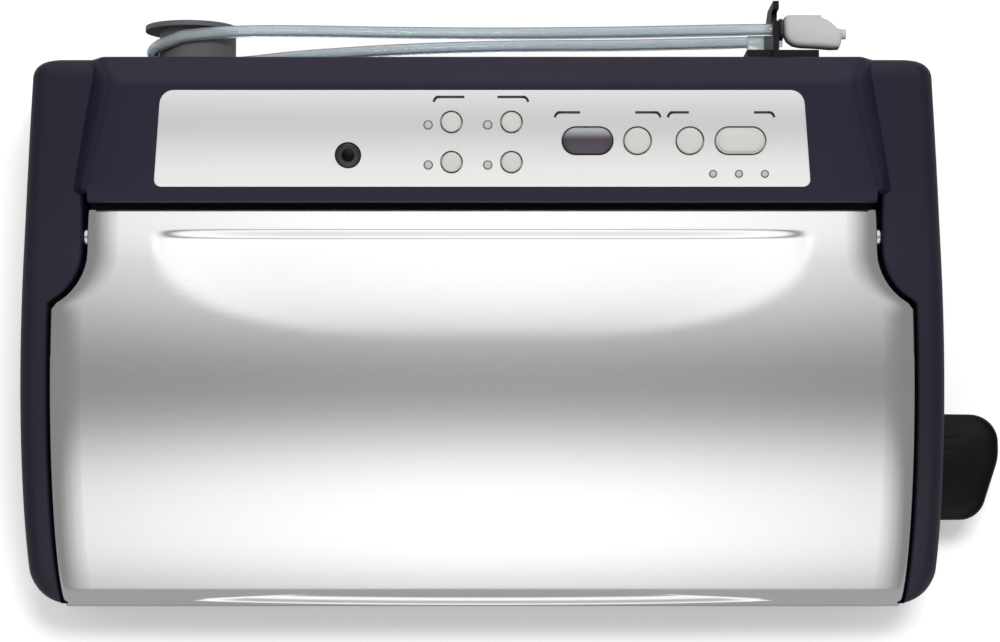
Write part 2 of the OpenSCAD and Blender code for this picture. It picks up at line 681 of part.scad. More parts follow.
module scoop_tool() {
    n = 10;
    rise = 7;
    step_y = hinge_y + 1.6;
    run = step_y - (shoulder_y - 42);
    slope = atan(scoop_depth / run);
    top = 30;
    half = [for (i = [0:n]) let (s = 1.04 * pow(i / n, 0.5)) [scoop_half_w * s, scoop_depth * pow(s, rise)]];
    translate([0, step_y, lid_h - scoop_depth]) rotate([-slope, 0, 0])
        rotate([90, 0, 0]) linear_extrude(120)
            polygon(concat([for (i = [n:-1:1]) [-half[i][0], half[i][1]]], half,
                [[scoop_half_w * 1.04, top], [-scoop_half_w * 1.04, top]]));
}

module lid_cover() color([0.82, 0.83, 0.83]) {
    groove_z = lid_edge_z + 14;
    groove_tilt = atan((face_back(groove_z + 3) - face_back(groove_z - 3)) / 6);
    side_z = deck_z + 3;
    difference() {
        intersection() {
            upright(lid_outline(0, 0, 0, 0), lid_edge_z, lid_h + 5);
            across(concat(lid_curve(0), [[y_lid_rear, lid_edge_z], [y_front, lid_edge_z]]), body_w / 2);
        }
        intersection() {
            upright(lid_outline(-lid_wall, -lid_wall, -lid_wall, -lid_wall), 0, lid_h + 5);
            across(concat(lid_curve(lid_wall), [[y_lid_rear, 0], [y_front, 0]]), body_w / 2);
            scoop_floor();
        }
        scoop_tool();
        // finger groove: a long lens along the front face, square to it
        translate([0, y_front + face_back(groove_z), groove_z]) rotate([90 - groove_tilt, 0, 0])
            translate([0, 0, -groove_depth]) linear_extrude(10)
                polygon([for (s = [-1, 1]) for (i = [-8:7])
                    [s * i * 134 / 8, -s * 3.9 * (1 - pow(i / 8, 2))]]);
        // the rear stays open below its lip, so that it clears the deck as the lid swings up
        block([-body_w, crest_y, 0], [body_w, y_rear, hinge_z + barrel_r + 0.3]);
        block([-body_w, liner_step_y, 0], [body_w, y_rear, rear_deck_z + 2]);
        block([-body_w, y_body_front + 4, 0], [body_w, y_rear, side_z]);
    }
    for (p = lid_screw_places) lid_boss(p);
}
// The cover's inner face under the scoop keeps the wall's thickness.
module scoop_floor() {
    difference() {
        block([-body_w, -body_d, 0], [body_w, body_d, lid_h + 5]);
        translate([0, 0, -lid_wall]) scoop_tool();
    }
}
function liner_top(y) = y < riser_y - 4 ? liner_z + wall : liner_rear_z + wall;
liner_rear_z = rear_deck_z + 3.5;
liner_step_y = riser_y - wall - 2.6;
// How far the lid's front face lies behind its lower edge at height z.
function face_back(z) = let (rise = (z - lid_edge_z) / (lid_h - lid_edge_z))
    (crest_y - y_front) * (1 - pow(1 - pow(rise, 2.1), 1 / 2.1));

// Height of the lid's top surface at depth y.
function cover_z(y) = let (p = 2 / 2.1, a = crest_y - y_front, u = min((crest_y - y) / a, 1))
    lid_edge_z + (lid_h - lid_edge_z) * pow(1 - pow(u, 2.1), 1 / 2.1);

module lid_boss(p) {
    z0 = liner_top(p[1]);
    difference() {
        translate([p[0], p[1], z0]) cylinder(h = cover_z(p[1]) - lid_wall + 1 - z0, r = 3.5);
        translate([p[0], p[1], z0 - 1]) cylinder(h = 9, r = 1.3);
    }
}

// Side view of the liner plate: low over the channel, then up over the rear deck.
function liner_side() =
    let (y0 = y_front + face_back(liner_z + wall) + lid_wall + 0.9, y1 = crest_y + 4, r = liner_step_y)
    [[y0, liner_z], [r, liner_z], [r, liner_rear_z], [y1, liner_rear_z], [y1, liner_rear_z + wall],
    [r - wall, liner_rear_z + wall], [r - wall, liner_z + wall], [y0, liner_z + wall]];

module lid_liner() color([0.22, 0.21, 0.24]) {
    arm_x0 = hinge_half - 12;
    arm_x1 = hinge_half - lid_wall - fit;
    arm_h = hinge_z - liner_rear_z;
    difference() {
        union() {
            intersection() {
                across(liner_side(), body_w / 2);
                upright(lid_outline(-lid_wall - fit, -lid_wall - fit, -lid_wall - fit, 0), 0, 200);
            }
            mirrored() {
                rod_x(arm_x0, arm_x1, hinge_y, hinge_z, barrel_r + 2);
                intersection() {
                    block([arm_x0, crest_y - 10, liner_rear_z], [arm_x1, hinge_y, hinge_z + 5]);
                    translate([arm_x0, crest_y - 10, liner_rear_z]) rotate([90, 0, 90])
                        linear_extrude(12) polygon([[0, 0], [14, 0], [22, arm_h - barrel_r - 2],
                            [22, arm_h + 5], [0, 4]]);
                }
            }
            translate([0, channel_y, liner_z]) linear_extrude(4) difference() {
                stadium(gasket_half_l, gasket_r + 1.5);
                stadium(gasket_half_l, gasket_r - gasket_w - 1.5);
            }
            seal_bar(2, 2, liner_z, liner_z + 4.5);
        }
        mirrored() rod_x(arm_x0 - 1, hinge_half + 2, hinge_y, hinge_z, barrel_r);
        gasket_seat();
        seal_bar(0, 0, 0, liner_z + 2);
        mirrored()
            block([hook_x - 6, shaft_y - 15, 0], [hook_x + 6, liner_step_y - wall, liner_z + wall + 1]);
        for (p = lid_screw_places) translate([p[0], p[1], 0]) cylinder(h = 200, r = 1.6);
        for (p = lid_screw_places) translate([p[0], p[1], 0]) cylinder(h = liner_top(p[1]) - 1.4, r = 2.9);
    }
}
module gasket_seat() {
    translate([0, channel_y, 0]) linear_extrude(liner_z + 1.5) difference() {
        stadium(gasket_half_l, gasket_r);
        stadium(gasket_half_l, gasket_r - gasket_w);
    }
}

module lid_screws() color([0.7, 0.7, 0.72]) {
    for (p = lid_screw_places) translate([p[0], p[1], liner_top(p[1]) - 1.4]) {
        translate([0, 0, -1]) cylinder(h = 1, r = 2.6);
        translate([0, 0, -0.5]) cylinder(h = 9, r = 1.3);
    }
}

module hinge_barrels() color([0.85, 0.86, 0.87]) {
    mirrored() difference() {
        rod_x(hinge_half - 12, hinge_half + hinge_gap - 0.4, hinge_y, hinge_z, barrel_r);
        rod_x(hinge_half - 13, hinge_half + hinge_gap, hinge_y, hinge_z, hinge_pin_r + shaft_play);
    }
}

module hinge_pins() color([0.75, 0.76, 0.78]) {
    mirrored() rod_x(hinge_half - 10, hinge_half + hinge_gap + 8.5, hinge_y, hinge_z, hinge_pin_r);
}

module pressure_strip() color([0.75, 0.25, 0.15]) {
    seal_bar(-0.1, -0.1, deck_z + 1.2 + fit, liner_z + 2);
}

// Each catch is a flange on top of the liner with two ears that hang through it and hold a pin.
module lid_catches() color([0.6, 0.6, 0.62]) {
    top = liner_z + wall;
    ear_t = 2.2;
    gap = hook_t / 2 + 0.5;
    mirrored() difference() {
        union() {
            block([hook_x - 8, shaft_y - 17, top], [hook_x + 8, liner_step_y - wall, top + 2]);
            for (x = [hook_x - gap - ear_t, hook_x + gap]) {
                block([x, shaft_y - 4, shaft_z + pin_orbit], [x + ear_t, shaft_y + 4, top + 1]);
                rod_x(x, x + ear_t, shaft_y, shaft_z + pin_orbit, 3.2);
            }
        }
        rod_x(hook_x - 10, hook_x + 10, shaft_y, shaft_z + pin_orbit, catch_pin_r);
    }
}

module catch_pins() color([0.78, 0.78, 0.8]) {
    reach = hook_t / 2 + 0.5 + 2.2;
    mirrored() rod_x(hook_x - reach, hook_x + reach, shaft_y, shaft_z + pin_orbit, catch_pin_r);
}

// ---------------------------------------------------------------- latch

module latch_shaft() color([0.72, 0.73, 0.75]) {
    rod_x(-shaft_end_x, hub_x + 12, shaft_y, shaft_z, shaft_r);
}

module latch_hooks() color([0.65, 0.65, 0.67]) {
    tip = 68;
    root = 22;
    mirrored() translate([hook_x - hook_t / 2, shaft_y, shaft_z]) rotate([90, 0, 90]) linear_extrude(hook_t) {
        difference() {
            union() {
                circle(r = shaft_r + 2.6);
                polygon(concat(arc([0, 0], hook_out_r, root, tip, 6),
                    arc([0, 0], hook_in_r, tip, root + 14, 5), [[5, 3.6], [6, -1]]));
            }
            circle(r = shaft_r);
        }
    }
}

// Plan of the lever's blade, from its hub outwards.
function lever_plan() = let (x0 = hub_x, x1 = body_w / 2 + lever_reach)
    rounded([[x0, shaft_y + 16.2], [x0, shaft_y - 33.2], [x1 - 9.2, shaft_y - 33], [x1, shaft_y - 4],
        [x1 - 0.4, shaft_y + 15.8]], [1.5, 1.5, 12, 24, 13]);

// Side view of the lever's blade, thickest near its shaft.
function lever_side() = let (t = lever_t)
    [for (p = [[-34, -0.5 * t], [-33, 1], [-10, 0.5 * t], [18, 0.36 * t], [18.4, -0.36 * t], [-8, -0.62 * t]])
        [shaft_y + p[0], shaft_z + p[1]]];

module latch_lever() color([0.06, 0.05, 0.06]) {
    difference() {
        union() {
            intersection() {
                upright(lever_plan(), shaft_z - 20, shaft_z + 20);
                across(rounded(lever_side(), [2, 3, 20, 2.5, 2.5, 20]), body_w);
            }
            rod_x(hub_x, hub_x + 13.5, shaft_y, shaft_z, shaft_r + 1.6);
            for (y = [shaft_y + 1.3, shaft_y + 6.4])
                block([hub_x + 0.5, y, shaft_z], [hub_x + 15, y + 1.3, shaft_z + 0.5 * lever_t + 0.3]);
        }
        rod_x(0, hub_x + 12, shaft_y, shaft_z, shaft_r);
        translate([hub_x + 6, shaft_y, 0]) cylinder(h = shaft_z, r = 1.2);
    }
}

module lever_pin() color([0.7, 0.7, 0.72]) {
    translate([hub_x + 6, shaft_y, shaft_z - shaft_r - 2.6]) difference() {
        cylinder(h = 2.6 + shaft_r, r = 1.2);
        rod_x(-5, 5, 0, 2.6 + shaft_r, shaft_r);
    }
}

// ---------------------------------------------------------------- pump, valve and power supply

motor_r = 17;
motor_x0 = -128;
motor_x1 = -76;
motor_y = 22;
motor_z = floor_z + 20;
head_x0 = -75.6;
head_x1 = -40;
head_x = (head_x0 + head_x1) / 2;
head_z0 = floor_z + 3;
power_z = floor_z + 8;
valve_x = 0;
valve_z0 = floor_z + 4;
board_posts = [[46, 0], [46, 50], [134, 0], [134, 50]];
nozzle_z = motor_z + 29;

module pump_motor() color([0.7, 0.71, 0.72]) {
    difference() {
        union() {
            rod_x(motor_x0, motor_x1, motor_y, motor_z, motor_r - 0.02);
            rod_x(motor_x0 - 2, motor_x0, motor_y, motor_z, 6);
        }
        rod_x(motor_x0 - 3, motor_x1 - 12, motor_y, motor_z, 1.56);
    }
}

module pump_fan() color([0.15, 0.15, 0.16]) {
    rod_x(motor_x0 - 12, motor_x1 - 14, motor_y, motor_z, 1.5);
    rod_x(motor_x0 - 10, motor_x0 - 3, motor_y, motor_z, 5);
    for (a = [0:45:315]) translate([0, motor_y, motor_z]) rotate([a, 0, 0])
        block([motor_x0 - 9, -0.7, 4], [motor_x0 - 4, 0.7, 15]);
}

module pump_head() color([0.25, 0.25, 0.27]) {
    difference() {
        union() {
            block([head_x0, motor_y - 16, head_z0], [head_x1, motor_y + 16, motor_z + 22]);
            for (y = [-7, 7]) post([head_x, motor_y + y], motor_z + 21, nozzle_z, 2.4);
            block([head_x0 - 0.4, motor_y - 12, motor_z - 12], [head_x0, motor_y + 12, motor_z + 12]);
        }
        for (y = [-7, 7]) post([head_x, motor_y + y], motor_z + 15, nozzle_z + 6, 1.3);
        for (z = [motor_z + 6:3:motor_z + 18])
            block([head_x0 - 1, motor_y - 17, z], [head_x1 + 1, motor_y - 14.5, z + 1.2]);
    }
}

module pump_straps() color([0.6, 0.61, 0.62]) {
    for (x = [motor_x0 + 8, motor_x1 - 8]) difference() {
        union() {
            rod_x(x - 2, x + 2, motor_y, motor_z, motor_r + 1);
            block([x - 2, motor_y - motor_r - 1, motor_z - 4], [x + 2, motor_y + motor_r + 1, motor_z]);
        }
        rod_x(x - 3, x + 3, motor_y, motor_z, motor_r);
        block([x - 3, motor_y - 30, 0], [x + 3, motor_y + 30, motor_z - 4]);
    }
}

inlet_z = deck_z - 16;
vacuum_route = [[head_x, motor_y - 7, nozzle_z], [head_x, motor_y - 7, nozzle_z + 3], [-62, motor_y - 14, 63],
    [-82, motor_y - 26, 60], [-120, motor_y - 40, 46], [-146, riser_y - 2, 32],
    [-inlet_x + 1, channel_y + 22, 19],
    [-inlet_x, channel_y + 6, 16], [-inlet_x, channel_y + 0.5, 22], [-inlet_x, channel_y, inlet_z - 3],
    [-inlet_x, channel_y, inlet_z]];
port_foot = panel_point(port_at[0], port_at[1], port_end);
port_lead = panel_point(port_at[0], port_at[1], port_end - 3);
port_route = [[head_x, motor_y + 7, nozzle_z], [head_x, motor_y + 7, nozzle_z + 3], [-59, motor_y + 12, 62],
    [port_at[0], 46, 62], [port_at[0], y_pod_front - 2, 58], [port_at[0], y_pod_front + 11, 60],
    [port_at[0], port_foot[1] + 0.5, port_foot[2] - 14], port_lead, port_foot];

// A soft tube whose first and last stretches stay straight, square to what they fit on.
module soft_tube(route) {
    n = len(route);
    bends = smooth([for (i = [1:n - 2]) route[i]], 4);
    swept(concat([route[0]], bends, [route[n - 1]]), 2.9);
}

module vacuum_tube() color([0.8, 0.82, 0.83]) soft_tube(vacuum_route);

module port_tube() color([0.8, 0.82, 0.83]) soft_tube(port_route);

module release_valve() color([0.3, 0.3, 0.32]) {
    difference() {
        block([valve_x - 9, motor_y - 9, valve_z0], [valve_x + 9, motor_y + 9, valve_z0 + 26]);
        translate([valve_x, motor_y, valve_z0 + 6]) cylinder(h = 30, r = 3.06);
    }
    translate([valve_x - 12, motor_y, valve_z0 + 6]) rotate([0, 90, 0]) cylinder(h = 4, r = 2.4);
}

module valve_plunger() color([0.75, 0.76, 0.78]) {
    translate([valve_x, motor_y, valve_z0 + 9]) cylinder(h = 19, r = 3);
    translate([valve_x, motor_y, valve_z0 + 28]) cylinder(h = 2, r = 5);
}

module power_board() color([0.12, 0.33, 0.2]) {
    difference() {
        block([40, -6, power_z], [140, 56, power_z + 1.6]);
        for (p = board_posts) translate([p[0], p[1], power_z - 1]) cylinder(h = 4, r = 1.6);
    }
    for (p = [[112, 4], [125, 12], [112, 18]]) translate([p[0], p[1], power_z + 1.6]) cylinder(h = 18, r = 5);
    block([110, 28, power_z + 1.6], [124, 46, power_z + 20]);
}

module transformer() color([0.55, 0.5, 0.4]) {
    block([58, 6, power_z + 1.6], [102, 44, power_z + 32]);
    block([64, 2, power_z + 5], [96, 48, power_z + 28]);
}

// ---------------------------------------------------------------- hose storage

module hose_spool() color([0.15, 0.14, 0.17]) {
    difference() {
        union() {
            translate([spool_x + 3, y_rear + spool_out - 2, spool_z]) rotate([90, 0, 0])
                linear_extrude(spool_out - 2) stadium(3, spool_r);
            rod_y(y_rear + spool_out - 2.2, y_rear + spool_out, spool_x, spool_z, flange_r);
        }
        rod_y(y_rear - 1, y_rear + spool_out + 1, spool_x + 6, spool_z, 1.7);
        rod_y(y_rear + 3, y_rear + spool_out + 1, spool_x + 6, spool_z, 3.4);
    }
}

module spool_screw() color([0.7, 0.7, 0.72]) {
    rod_y(y_rear - wall - 4, y_rear + 4, spool_x + 6, spool_z, 1.5);
    rod_y(y_rear + 3, y_rear + 5, spool_x + 6, spool_z, 3.2);
}

clip_screw_z = [spool_z - 7, spool_z + 7];

module hose_clip() color([0.15, 0.14, 0.17]) {
    base_t = 4.2;
    z0 = clip_low_z - 9;
    z1 = clip_top_z + 7;
    neck = hose_r - 0.4;
    lip_y = y_rear + clip_reach - 6;
    difference() {
        union() {
            block([clip_x - 13, y_rear, z0], [clip_x + 19.6, y_rear + base_t, z1 - 3]);
            block([clip_x - fin_t / 2, y_rear, z0], [clip_x + fin_t / 2, y_rear + clip_reach, z1]);
        }
        // neck slot for the hose, open to the rear
        rod_x(clip_x - 5, clip_x + 5, hose_y, clip_top_z, hose_r + 0.25);
        block([clip_x - 5, hose_y, clip_top_z - neck], [clip_x + 5, lip_y, clip_top_z + neck]);
        rod_x(clip_x - 5, clip_x + 5, lip_y, clip_top_z, neck);
        block([clip_x - 5, lip_y - 3, clip_top_z], [clip_x + 5, lip_y + 2.4, z1 + 1]);
        rod_x(clip_x - 5, clip_x + 5, hose_y, clip_low_z, 2.3);
        translate([clip_x - 5, y_rear + clip_reach - 12, z0 - 1]) rotate([-25, 0, 0]) cube([10, 30, 40]);
        for (z = clip_screw_z) rod_y(y_rear - 1, y_rear + 10, clip_x + 10, z, 1.6);
    }
}

module clip_screws() color([0.7, 0.7, 0.72]) {
    for (z = clip_screw_z) {
        rod_y(y_rear - wall - 4, y_rear + 4.3, clip_x + 10, z, 1.3);
        rod_y(y_rear + 4.2, y_rear + 5.7, clip_x + 10, z, 2.8);
    }
}

// The hose's route: from the connector, along the top to the spool, round it and back to the clip.
hose_route = concat(
    [[clip_x + 3.6, hose_y, clip_top_z], [clip_x - 10, hose_y, clip_top_z - 0.3],
    [100, hose_y, clip_top_z - 2.6], [60, hose_y, clip_top_z - 7], [10, hose_y, clip_top_z - 9.5],
    [-40, hose_y, clip_top_z - 7.6],
    [-85, hose_y - 0.1, clip_top_z - 3], [-112, hose_y - 0.8, clip_top_z - 0.4]],
    [for (i = [0:8]) let (a = 90 + 180 * i / 8)
        [spool_x + turn_r * cos(a), y_rear + 4.2 + 7.2 * pow(1 - i / 8, 2.2), spool_z + turn_r * sin(a)]],
    [[-112, y_rear + 5, clip_low_z - 0.6], [-85, hose_y - 5.8, clip_low_z - 3],
    [-40, hose_y - 2, clip_low_z - 7.6],
    [10, hose_y, clip_low_z - 9.5], [60, hose_y, clip_low_z - 7], [100, hose_y, clip_low_z - 2.6],
    [clip_x - 16, hose_y, clip_low_z - 0.3], [clip_x - 9, hose_y, clip_low_z]]);

module accessory_hose() color([0.78, 0.85, 0.88]) swept(smooth(hose_route, 3), hose_r);

// Grip that the hose's upper end carries, resting against the clip's far side.
module hose_connector() color([0.7, 0.7, 0.69]) {
    x0 = clip_x + 3.6;
    tip_r = port_bore_r - port_play;
    grip = [[0, 0], [6.4, 0], [7.5, 1.2], [7.5, 17], [6.3, 17.2], [6, 20.5], [4.8, 24], [3.4, 26]];
    profile = concat(grip, [[tip_r, 26], [tip_r, 29], [0, 29]]);
    translate([x0, hose_y, clip_top_z]) rotate([0, 90, 0]) rotate_extrude() polygon(profile);
}

// Small plug on the hose's other end, parked in the clip's lower hole.
module hose_plug() color([0.85, 0.87, 0.88]) {
    rod_x(clip_x - 9, clip_x - fin_t / 2 - 0.3, hose_y, clip_low_z, 3.4);
    rod_x(clip_x - 3, clip_x + 7, hose_y, clip_low_z, 2.1);
}

// ---------------------------------------------------------------- drawing

// Centres the frame on the outline with the lever and the hose clip.
module place() {
    translate([-lever_reach / 2, -clip_reach / 2, 0]) children();
}

place() base_pan();
place() rubber_feet();
place() base_screws();
place() upper_housing();
place() cord_gland();
place() deck();
place() drip_tray();
place() lower_gasket();
place() heater_bar();
place() heating_element();
place() release_tape();
place() hinge_pins();
place() control_plate();
place() indicator_lenses();
place() accessory_port();
place() control_board();
place() tact_switches();
place() indicator_leds();
place() board_screws();
place() small_button(0);  // fast_button
place() small_button(1);  // normal_button
place() small_button(2);  // moist_button
place() small_button(3);  // dry_button
place() long_button(0, smoke);  // vacuum_seal_button
place() round_button(0);  // canister_button
place() round_button(1);  // pulse_button
place() long_button(1, silver);  // seal_button
place() lid_cover();
place() lid_liner();
place() lid_screws();
place() hinge_barrels();
place() upper_gasket();
place() pressure_strip();
place() lid_catches();
place() catch_pins();
place() latch_shaft();
place() latch_hooks();
place() latch_lever();
place() lever_pin();
place() pump_motor();
place() pump_fan();
place() pump_head();
place() pump_straps();
place() vacuum_tube();
place() port_tube();
place() release_valve();
place() valve_plunger();
place() power_board();
place() transformer();
place() hose_spool();
place() spool_screw();
place() hose_clip();
place() clip_screws();
place() accessory_hose();
place() hose_connector();
place() hose_plug();
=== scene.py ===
import math

import bmesh
import bpy
from mathutils import Matrix, Vector


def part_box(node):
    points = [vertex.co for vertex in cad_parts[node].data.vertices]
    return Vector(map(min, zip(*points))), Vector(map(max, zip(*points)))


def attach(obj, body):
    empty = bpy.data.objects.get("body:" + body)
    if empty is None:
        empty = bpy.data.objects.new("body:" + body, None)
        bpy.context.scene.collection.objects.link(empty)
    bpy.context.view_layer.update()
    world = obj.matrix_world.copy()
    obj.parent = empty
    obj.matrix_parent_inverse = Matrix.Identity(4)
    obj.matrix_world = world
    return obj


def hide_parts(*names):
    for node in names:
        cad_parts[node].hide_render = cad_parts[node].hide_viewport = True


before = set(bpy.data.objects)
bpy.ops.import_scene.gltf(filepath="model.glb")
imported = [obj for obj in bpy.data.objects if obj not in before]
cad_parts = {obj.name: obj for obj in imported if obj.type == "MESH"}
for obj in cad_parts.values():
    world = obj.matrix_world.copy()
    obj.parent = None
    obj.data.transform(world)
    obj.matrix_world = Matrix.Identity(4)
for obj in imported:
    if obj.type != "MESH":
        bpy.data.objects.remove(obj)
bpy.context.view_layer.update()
print("frame loaded")

mm = 0.001

# The frame's own boxes give the driving sizes. Everything below is in millimetres,
# from the middle of the housing on the table.
housingLow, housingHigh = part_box("upper_housing")
lidLow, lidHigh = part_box("lid_cover")
halfWidth = (housingHigh.x - housingLow.x) / 2 / mm
halfDepth = (housingHigh.y - lidLow.y) / 2 / mm
middle = Vector(((housingLow.x + housingHigh.x) / 2, (housingHigh.y + lidLow.y) / 2, 0))
lidTopZ = lidHigh.z / mm
lidEdgeZ = lidLow.z / mm
podTopZ = housingHigh.z / mm

body = {
    "bowRadius": 2000,
    "bowY": -40,
    "partingZ": housingLow.z / mm,
    "railWidth": 14.5,
    "railGap": 1.6,
    "hingeHalf": 178.2,
    "hingeGap": 2.4,
    "rearGap": 6.8,
    "shoulderRadius": 28.5,
    "podDepth": 61,
    "lipReach": 4.6,
    "lipRise": 1.2,
    "lidPower": 2.1,
    "lidRearFall": 1.5,
    "railDrop": 3,
    "railRise": 9,
    "railRun": 22,
    "outerRound": 7,
    "innerRound": 1.4,
    "frontCorner": 16,
    "rearCorner": 8,
    "rearRound": 9,
}
frontY = -halfDepth
bodyFrontY = housingLow.y / mm - middle.y / mm
podFrontY = halfDepth - body["podDepth"]
lidRearY = podFrontY - body["rearGap"]
hingeY = lidRearY - 11.7
hingeZ = lidTopZ - 12
crestY = hingeY - 12
shoulderY = hingeY - 6.5


def at(x, y, z):
    return Vector((x * mm, y * mm, z * mm)) + middle


def clamp(value, low, high):
    return max(low, min(high, value))


def spread(start, end, count):
    return [start + (end - start) * i / count for i in range(count + 1)]


def sideX(y):
    return halfWidth - (y - body["bowY"]) ** 2 / (2 * body["bowRadius"])


def lidSideX(y, railGrow=0.0, hingeGrow=0.0):
    centre = body["hingeHalf"] + body["shoulderRadius"]
    radius = body["shoulderRadius"] - hingeGrow
    straight = sideX(y) - body["railWidth"] + railGrow
    if y >= shoulderY:
        return body["hingeHalf"] + hingeGrow
    below = shoulderY - y
    if below >= radius:
        return straight
    return min(straight, centre - math.sqrt(radius**2 - below**2))


def lidCurveZ(y):
    run = clamp((crestY - y) / (crestY - frontY), 0, 1)
    if y > crestY:
        return lidTopZ - body["lidRearFall"] * ((y - crestY) / (lidRearY - crestY)) ** 2
    return lidEdgeZ + (lidTopZ - lidEdgeZ) * (1 - run ** body["lidPower"]) ** (1 / body["lidPower"])


def lidCurveY(z):
    share = clamp((z - lidEdgeZ) / (lidTopZ - lidEdgeZ), 0, 1)
    return crestY - (crestY - frontY) * (1 - share ** body["lidPower"]) ** (1 / body["lidPower"])


def railTopZ(y):
    if y <= crestY:
        fade = clamp((y - bodyFrontY + 4) / 12, 0, 1)
        return max(lidCurveZ(max(y, bodyFrontY + 0.3)) - body["railDrop"] * fade, lidEdgeZ - 1.3)
    flat = lidTopZ - body["railDrop"]
    start = podFrontY - body["railRun"]
    rise = clamp((y - start) / (halfDepth - start), 0, 1)
    height = flat + body["railRise"] * rise**1.6
    over = y - (halfDepth - body["rearRound"])
    if over > 0:
        height -= body["rearRound"] - math.sqrt(max(body["rearRound"] ** 2 - over**2, 0))
    return height


def railOuterX(y):
    front = body["frontCorner"] - (y - bodyFrontY)
    rear = body["rearCorner"] - (halfDepth - y)
    x = sideX(y)
    if front > 0:
        x -= body["frontCorner"] - math.sqrt(max(body["frontCorner"] ** 2 - front**2, 0))
    if rear > 0:
        x -= body["rearCorner"] - math.sqrt(max(body["rearCorner"] ** 2 - rear**2, 0))
    return x


# Camera

cameraSetup = {"elevation": 86, "distance": 1250, "lens": 98.7, "target": (8, 6.5, 80)}


def makeCamera():
    data = bpy.data.cameras.new("camera")
    data.lens = cameraSetup["lens"]
    data.sensor_width = 36
    camera = bpy.data.objects.new("camera", data)
    bpy.context.scene.collection.objects.link(camera)
    angle = math.radians(cameraSetup["elevation"])
    back = Vector((0, -math.cos(angle), math.sin(angle)))
    camera.location = at(*cameraSetup["target"]) + back * cameraSetup["distance"] * mm
    camera.rotation_mode = "QUATERNION"
    camera.rotation_quaternion = (-back).to_track_quat("-Z", "Y")
    data.clip_start, data.clip_end = 0.05, 20
    bpy.context.scene.camera = camera


makeCamera()


# Materials


class Field:
    def __init__(self, tree, socket):
        self.tree = tree
        self.socket = socket

    def feed(self, socket):
        self.tree.links.new(self.socket, socket)

    def math(self, operation, first, second):
        node = self.tree.nodes.new("ShaderNodeMath")
        node.operation = operation
        for value, socket in zip((first, second), node.inputs):
            if isinstance(value, Field):
                value.feed(socket)
            else:
                socket.default_value = value
        return Field(self.tree, node.outputs[0])

    def __add__(self, other):
        return self.math("ADD", self, other)

    def __radd__(self, other):
        return self.math("ADD", other, self)

    def __sub__(self, other):
        return self.math("SUBTRACT", self, other)

    def __rsub__(self, other):
        return self.math("SUBTRACT", other, self)

    def __mul__(self, other):
        return self.math("MULTIPLY", self, other)

    def __rmul__(self, other):
        return self.math("MULTIPLY", other, self)

    def __truediv__(self, other):
        return self.math("DIVIDE", self, other)

    def node(self, kind, into=0, out=0, inputs=None, **settings):
        made = self.tree.nodes.new("ShaderNode" + kind)
        for key, value in settings.items():
            setattr(made, key, value)
        for key, value in (inputs or {}).items():
            if isinstance(value, Field):
                value.feed(made.inputs[key])
            else:
                made.inputs[key].default_value = value
        self.feed(made.inputs[into])
        return Field(self.tree, made.outputs[out])


class Finish:
    def __init__(self, name):
        self.material = bpy.data.materials.new(name)
        self.material.use_nodes = True
        self.tree = self.material.node_tree
        self.shader = next(n for n in self.tree.nodes if n.type == "BSDF_PRINCIPLED")
        place = self.tree.nodes.new("ShaderNodeTexCoord")
        self.place = Field(self.tree, place.outputs["Object"])

    def pattern(self, scale, detail=2.0, stretch=(1, 1, 1)):
        scaled = self.place.node("Mapping", inputs={"Scale": stretch})
        return scaled.node(
            "TexNoise", into="Vector", inputs={"Scale": scale, "Detail": detail, "Roughness": 0.55}
        )

    def put(self, name, value):
        socket = self.shader.inputs[name]
        if isinstance(value, Field):
            value.feed(socket)
        else:
            socket.default_value = value

    def colour(self, dark, light, factor):
        mixed = factor.node(
            "MixRGB", into="Fac", inputs={"Color1": (*dark, 1), "Color2": (*light, 1)}
        )
        self.put("Base Color", mixed)

    def bump(self, height, depth):
        normal = height.node("Bump", into="Height", inputs={"Distance": depth, "Strength": 1.0})
        self.put("Normal", normal)


def plastic(name, colour, rough, grain=900.0, depth=0.00003, coat=0.0, vary=0.12, shine=0.5):
    made = Finish(name)
    mottle = made.pattern(22, 3)
    dark = [c * (1 - vary) for c in colour]
    light = [c * (1 + vary) for c in colour]
    made.colour(dark, light, mottle)
    fine = made.pattern(grain, 2)
    made.put("Roughness", rough - 0.05 + 0.06 * mottle + 0.05 * fine)
    made.put("Coat Weight", coat)
    made.put("Coat Roughness", 0.12)
    made.put("Specular IOR Level", shine)
    made.bump(fine, depth)
    return made.material


def metal(name, colour, rough, stretch=(1, 30, 30), scale=60.0, depth=0.00001, vary=0.05):
    made = Finish(name)
    streak = made.pattern(scale, 3, stretch)
    broad = made.pattern(9, 2)
    made.colour([c * (1 - vary) for c in colour], [c * (1 + vary) for c in colour], streak)
    made.put("Metallic", 1.0)
    made.put("Roughness", rough - 0.04 + 0.05 * streak + 0.04 * broad)
    made.bump(streak, depth)
    return made.material


def clear(name, colour, rough, transmission, vary=0.06):
    made = Finish(name)
    cloud = made.pattern(40, 3)
    made.colour([c * (1 - vary) for c in colour], colour, cloud)
    made.put("Roughness", rough + 0.06 * cloud)
    made.put("Transmission Weight", transmission)
    made.put("IOR", 1.45)
    made.bump(cloud, 0.000004)
    return made.material


# Housing plastic, with painted shade making the side rails darker than the pod
def housingPlastic():
    made = Finish("housingBlack")
    mottle = made.pattern(22, 3)
    fine = made.pattern(900, 2)
    place = made.place.node("SeparateXYZ", into=0)
    side = place.math("ABSOLUTE", place - middle.x, 0)
    railShadeMask = side.node(
        "MapRange", into=0, inputs={"From Min": 0.176, "From Max": 0.2}, interpolation_type="SMOOTHSTEP"
    )
    # The pod takes the first colour and the rails the second, darker one, which is painted shade
    made.colour((0.0135, 0.009, 0.026), (0.012, 0.0095, 0.0205), railShadeMask)
    made.put("Specular IOR Level", 0.36)
    made.put("Roughness", 0.36 + 0.05 * mottle + 0.05 * fine)
    made.bump(fine, 0.00002)
    return made.material
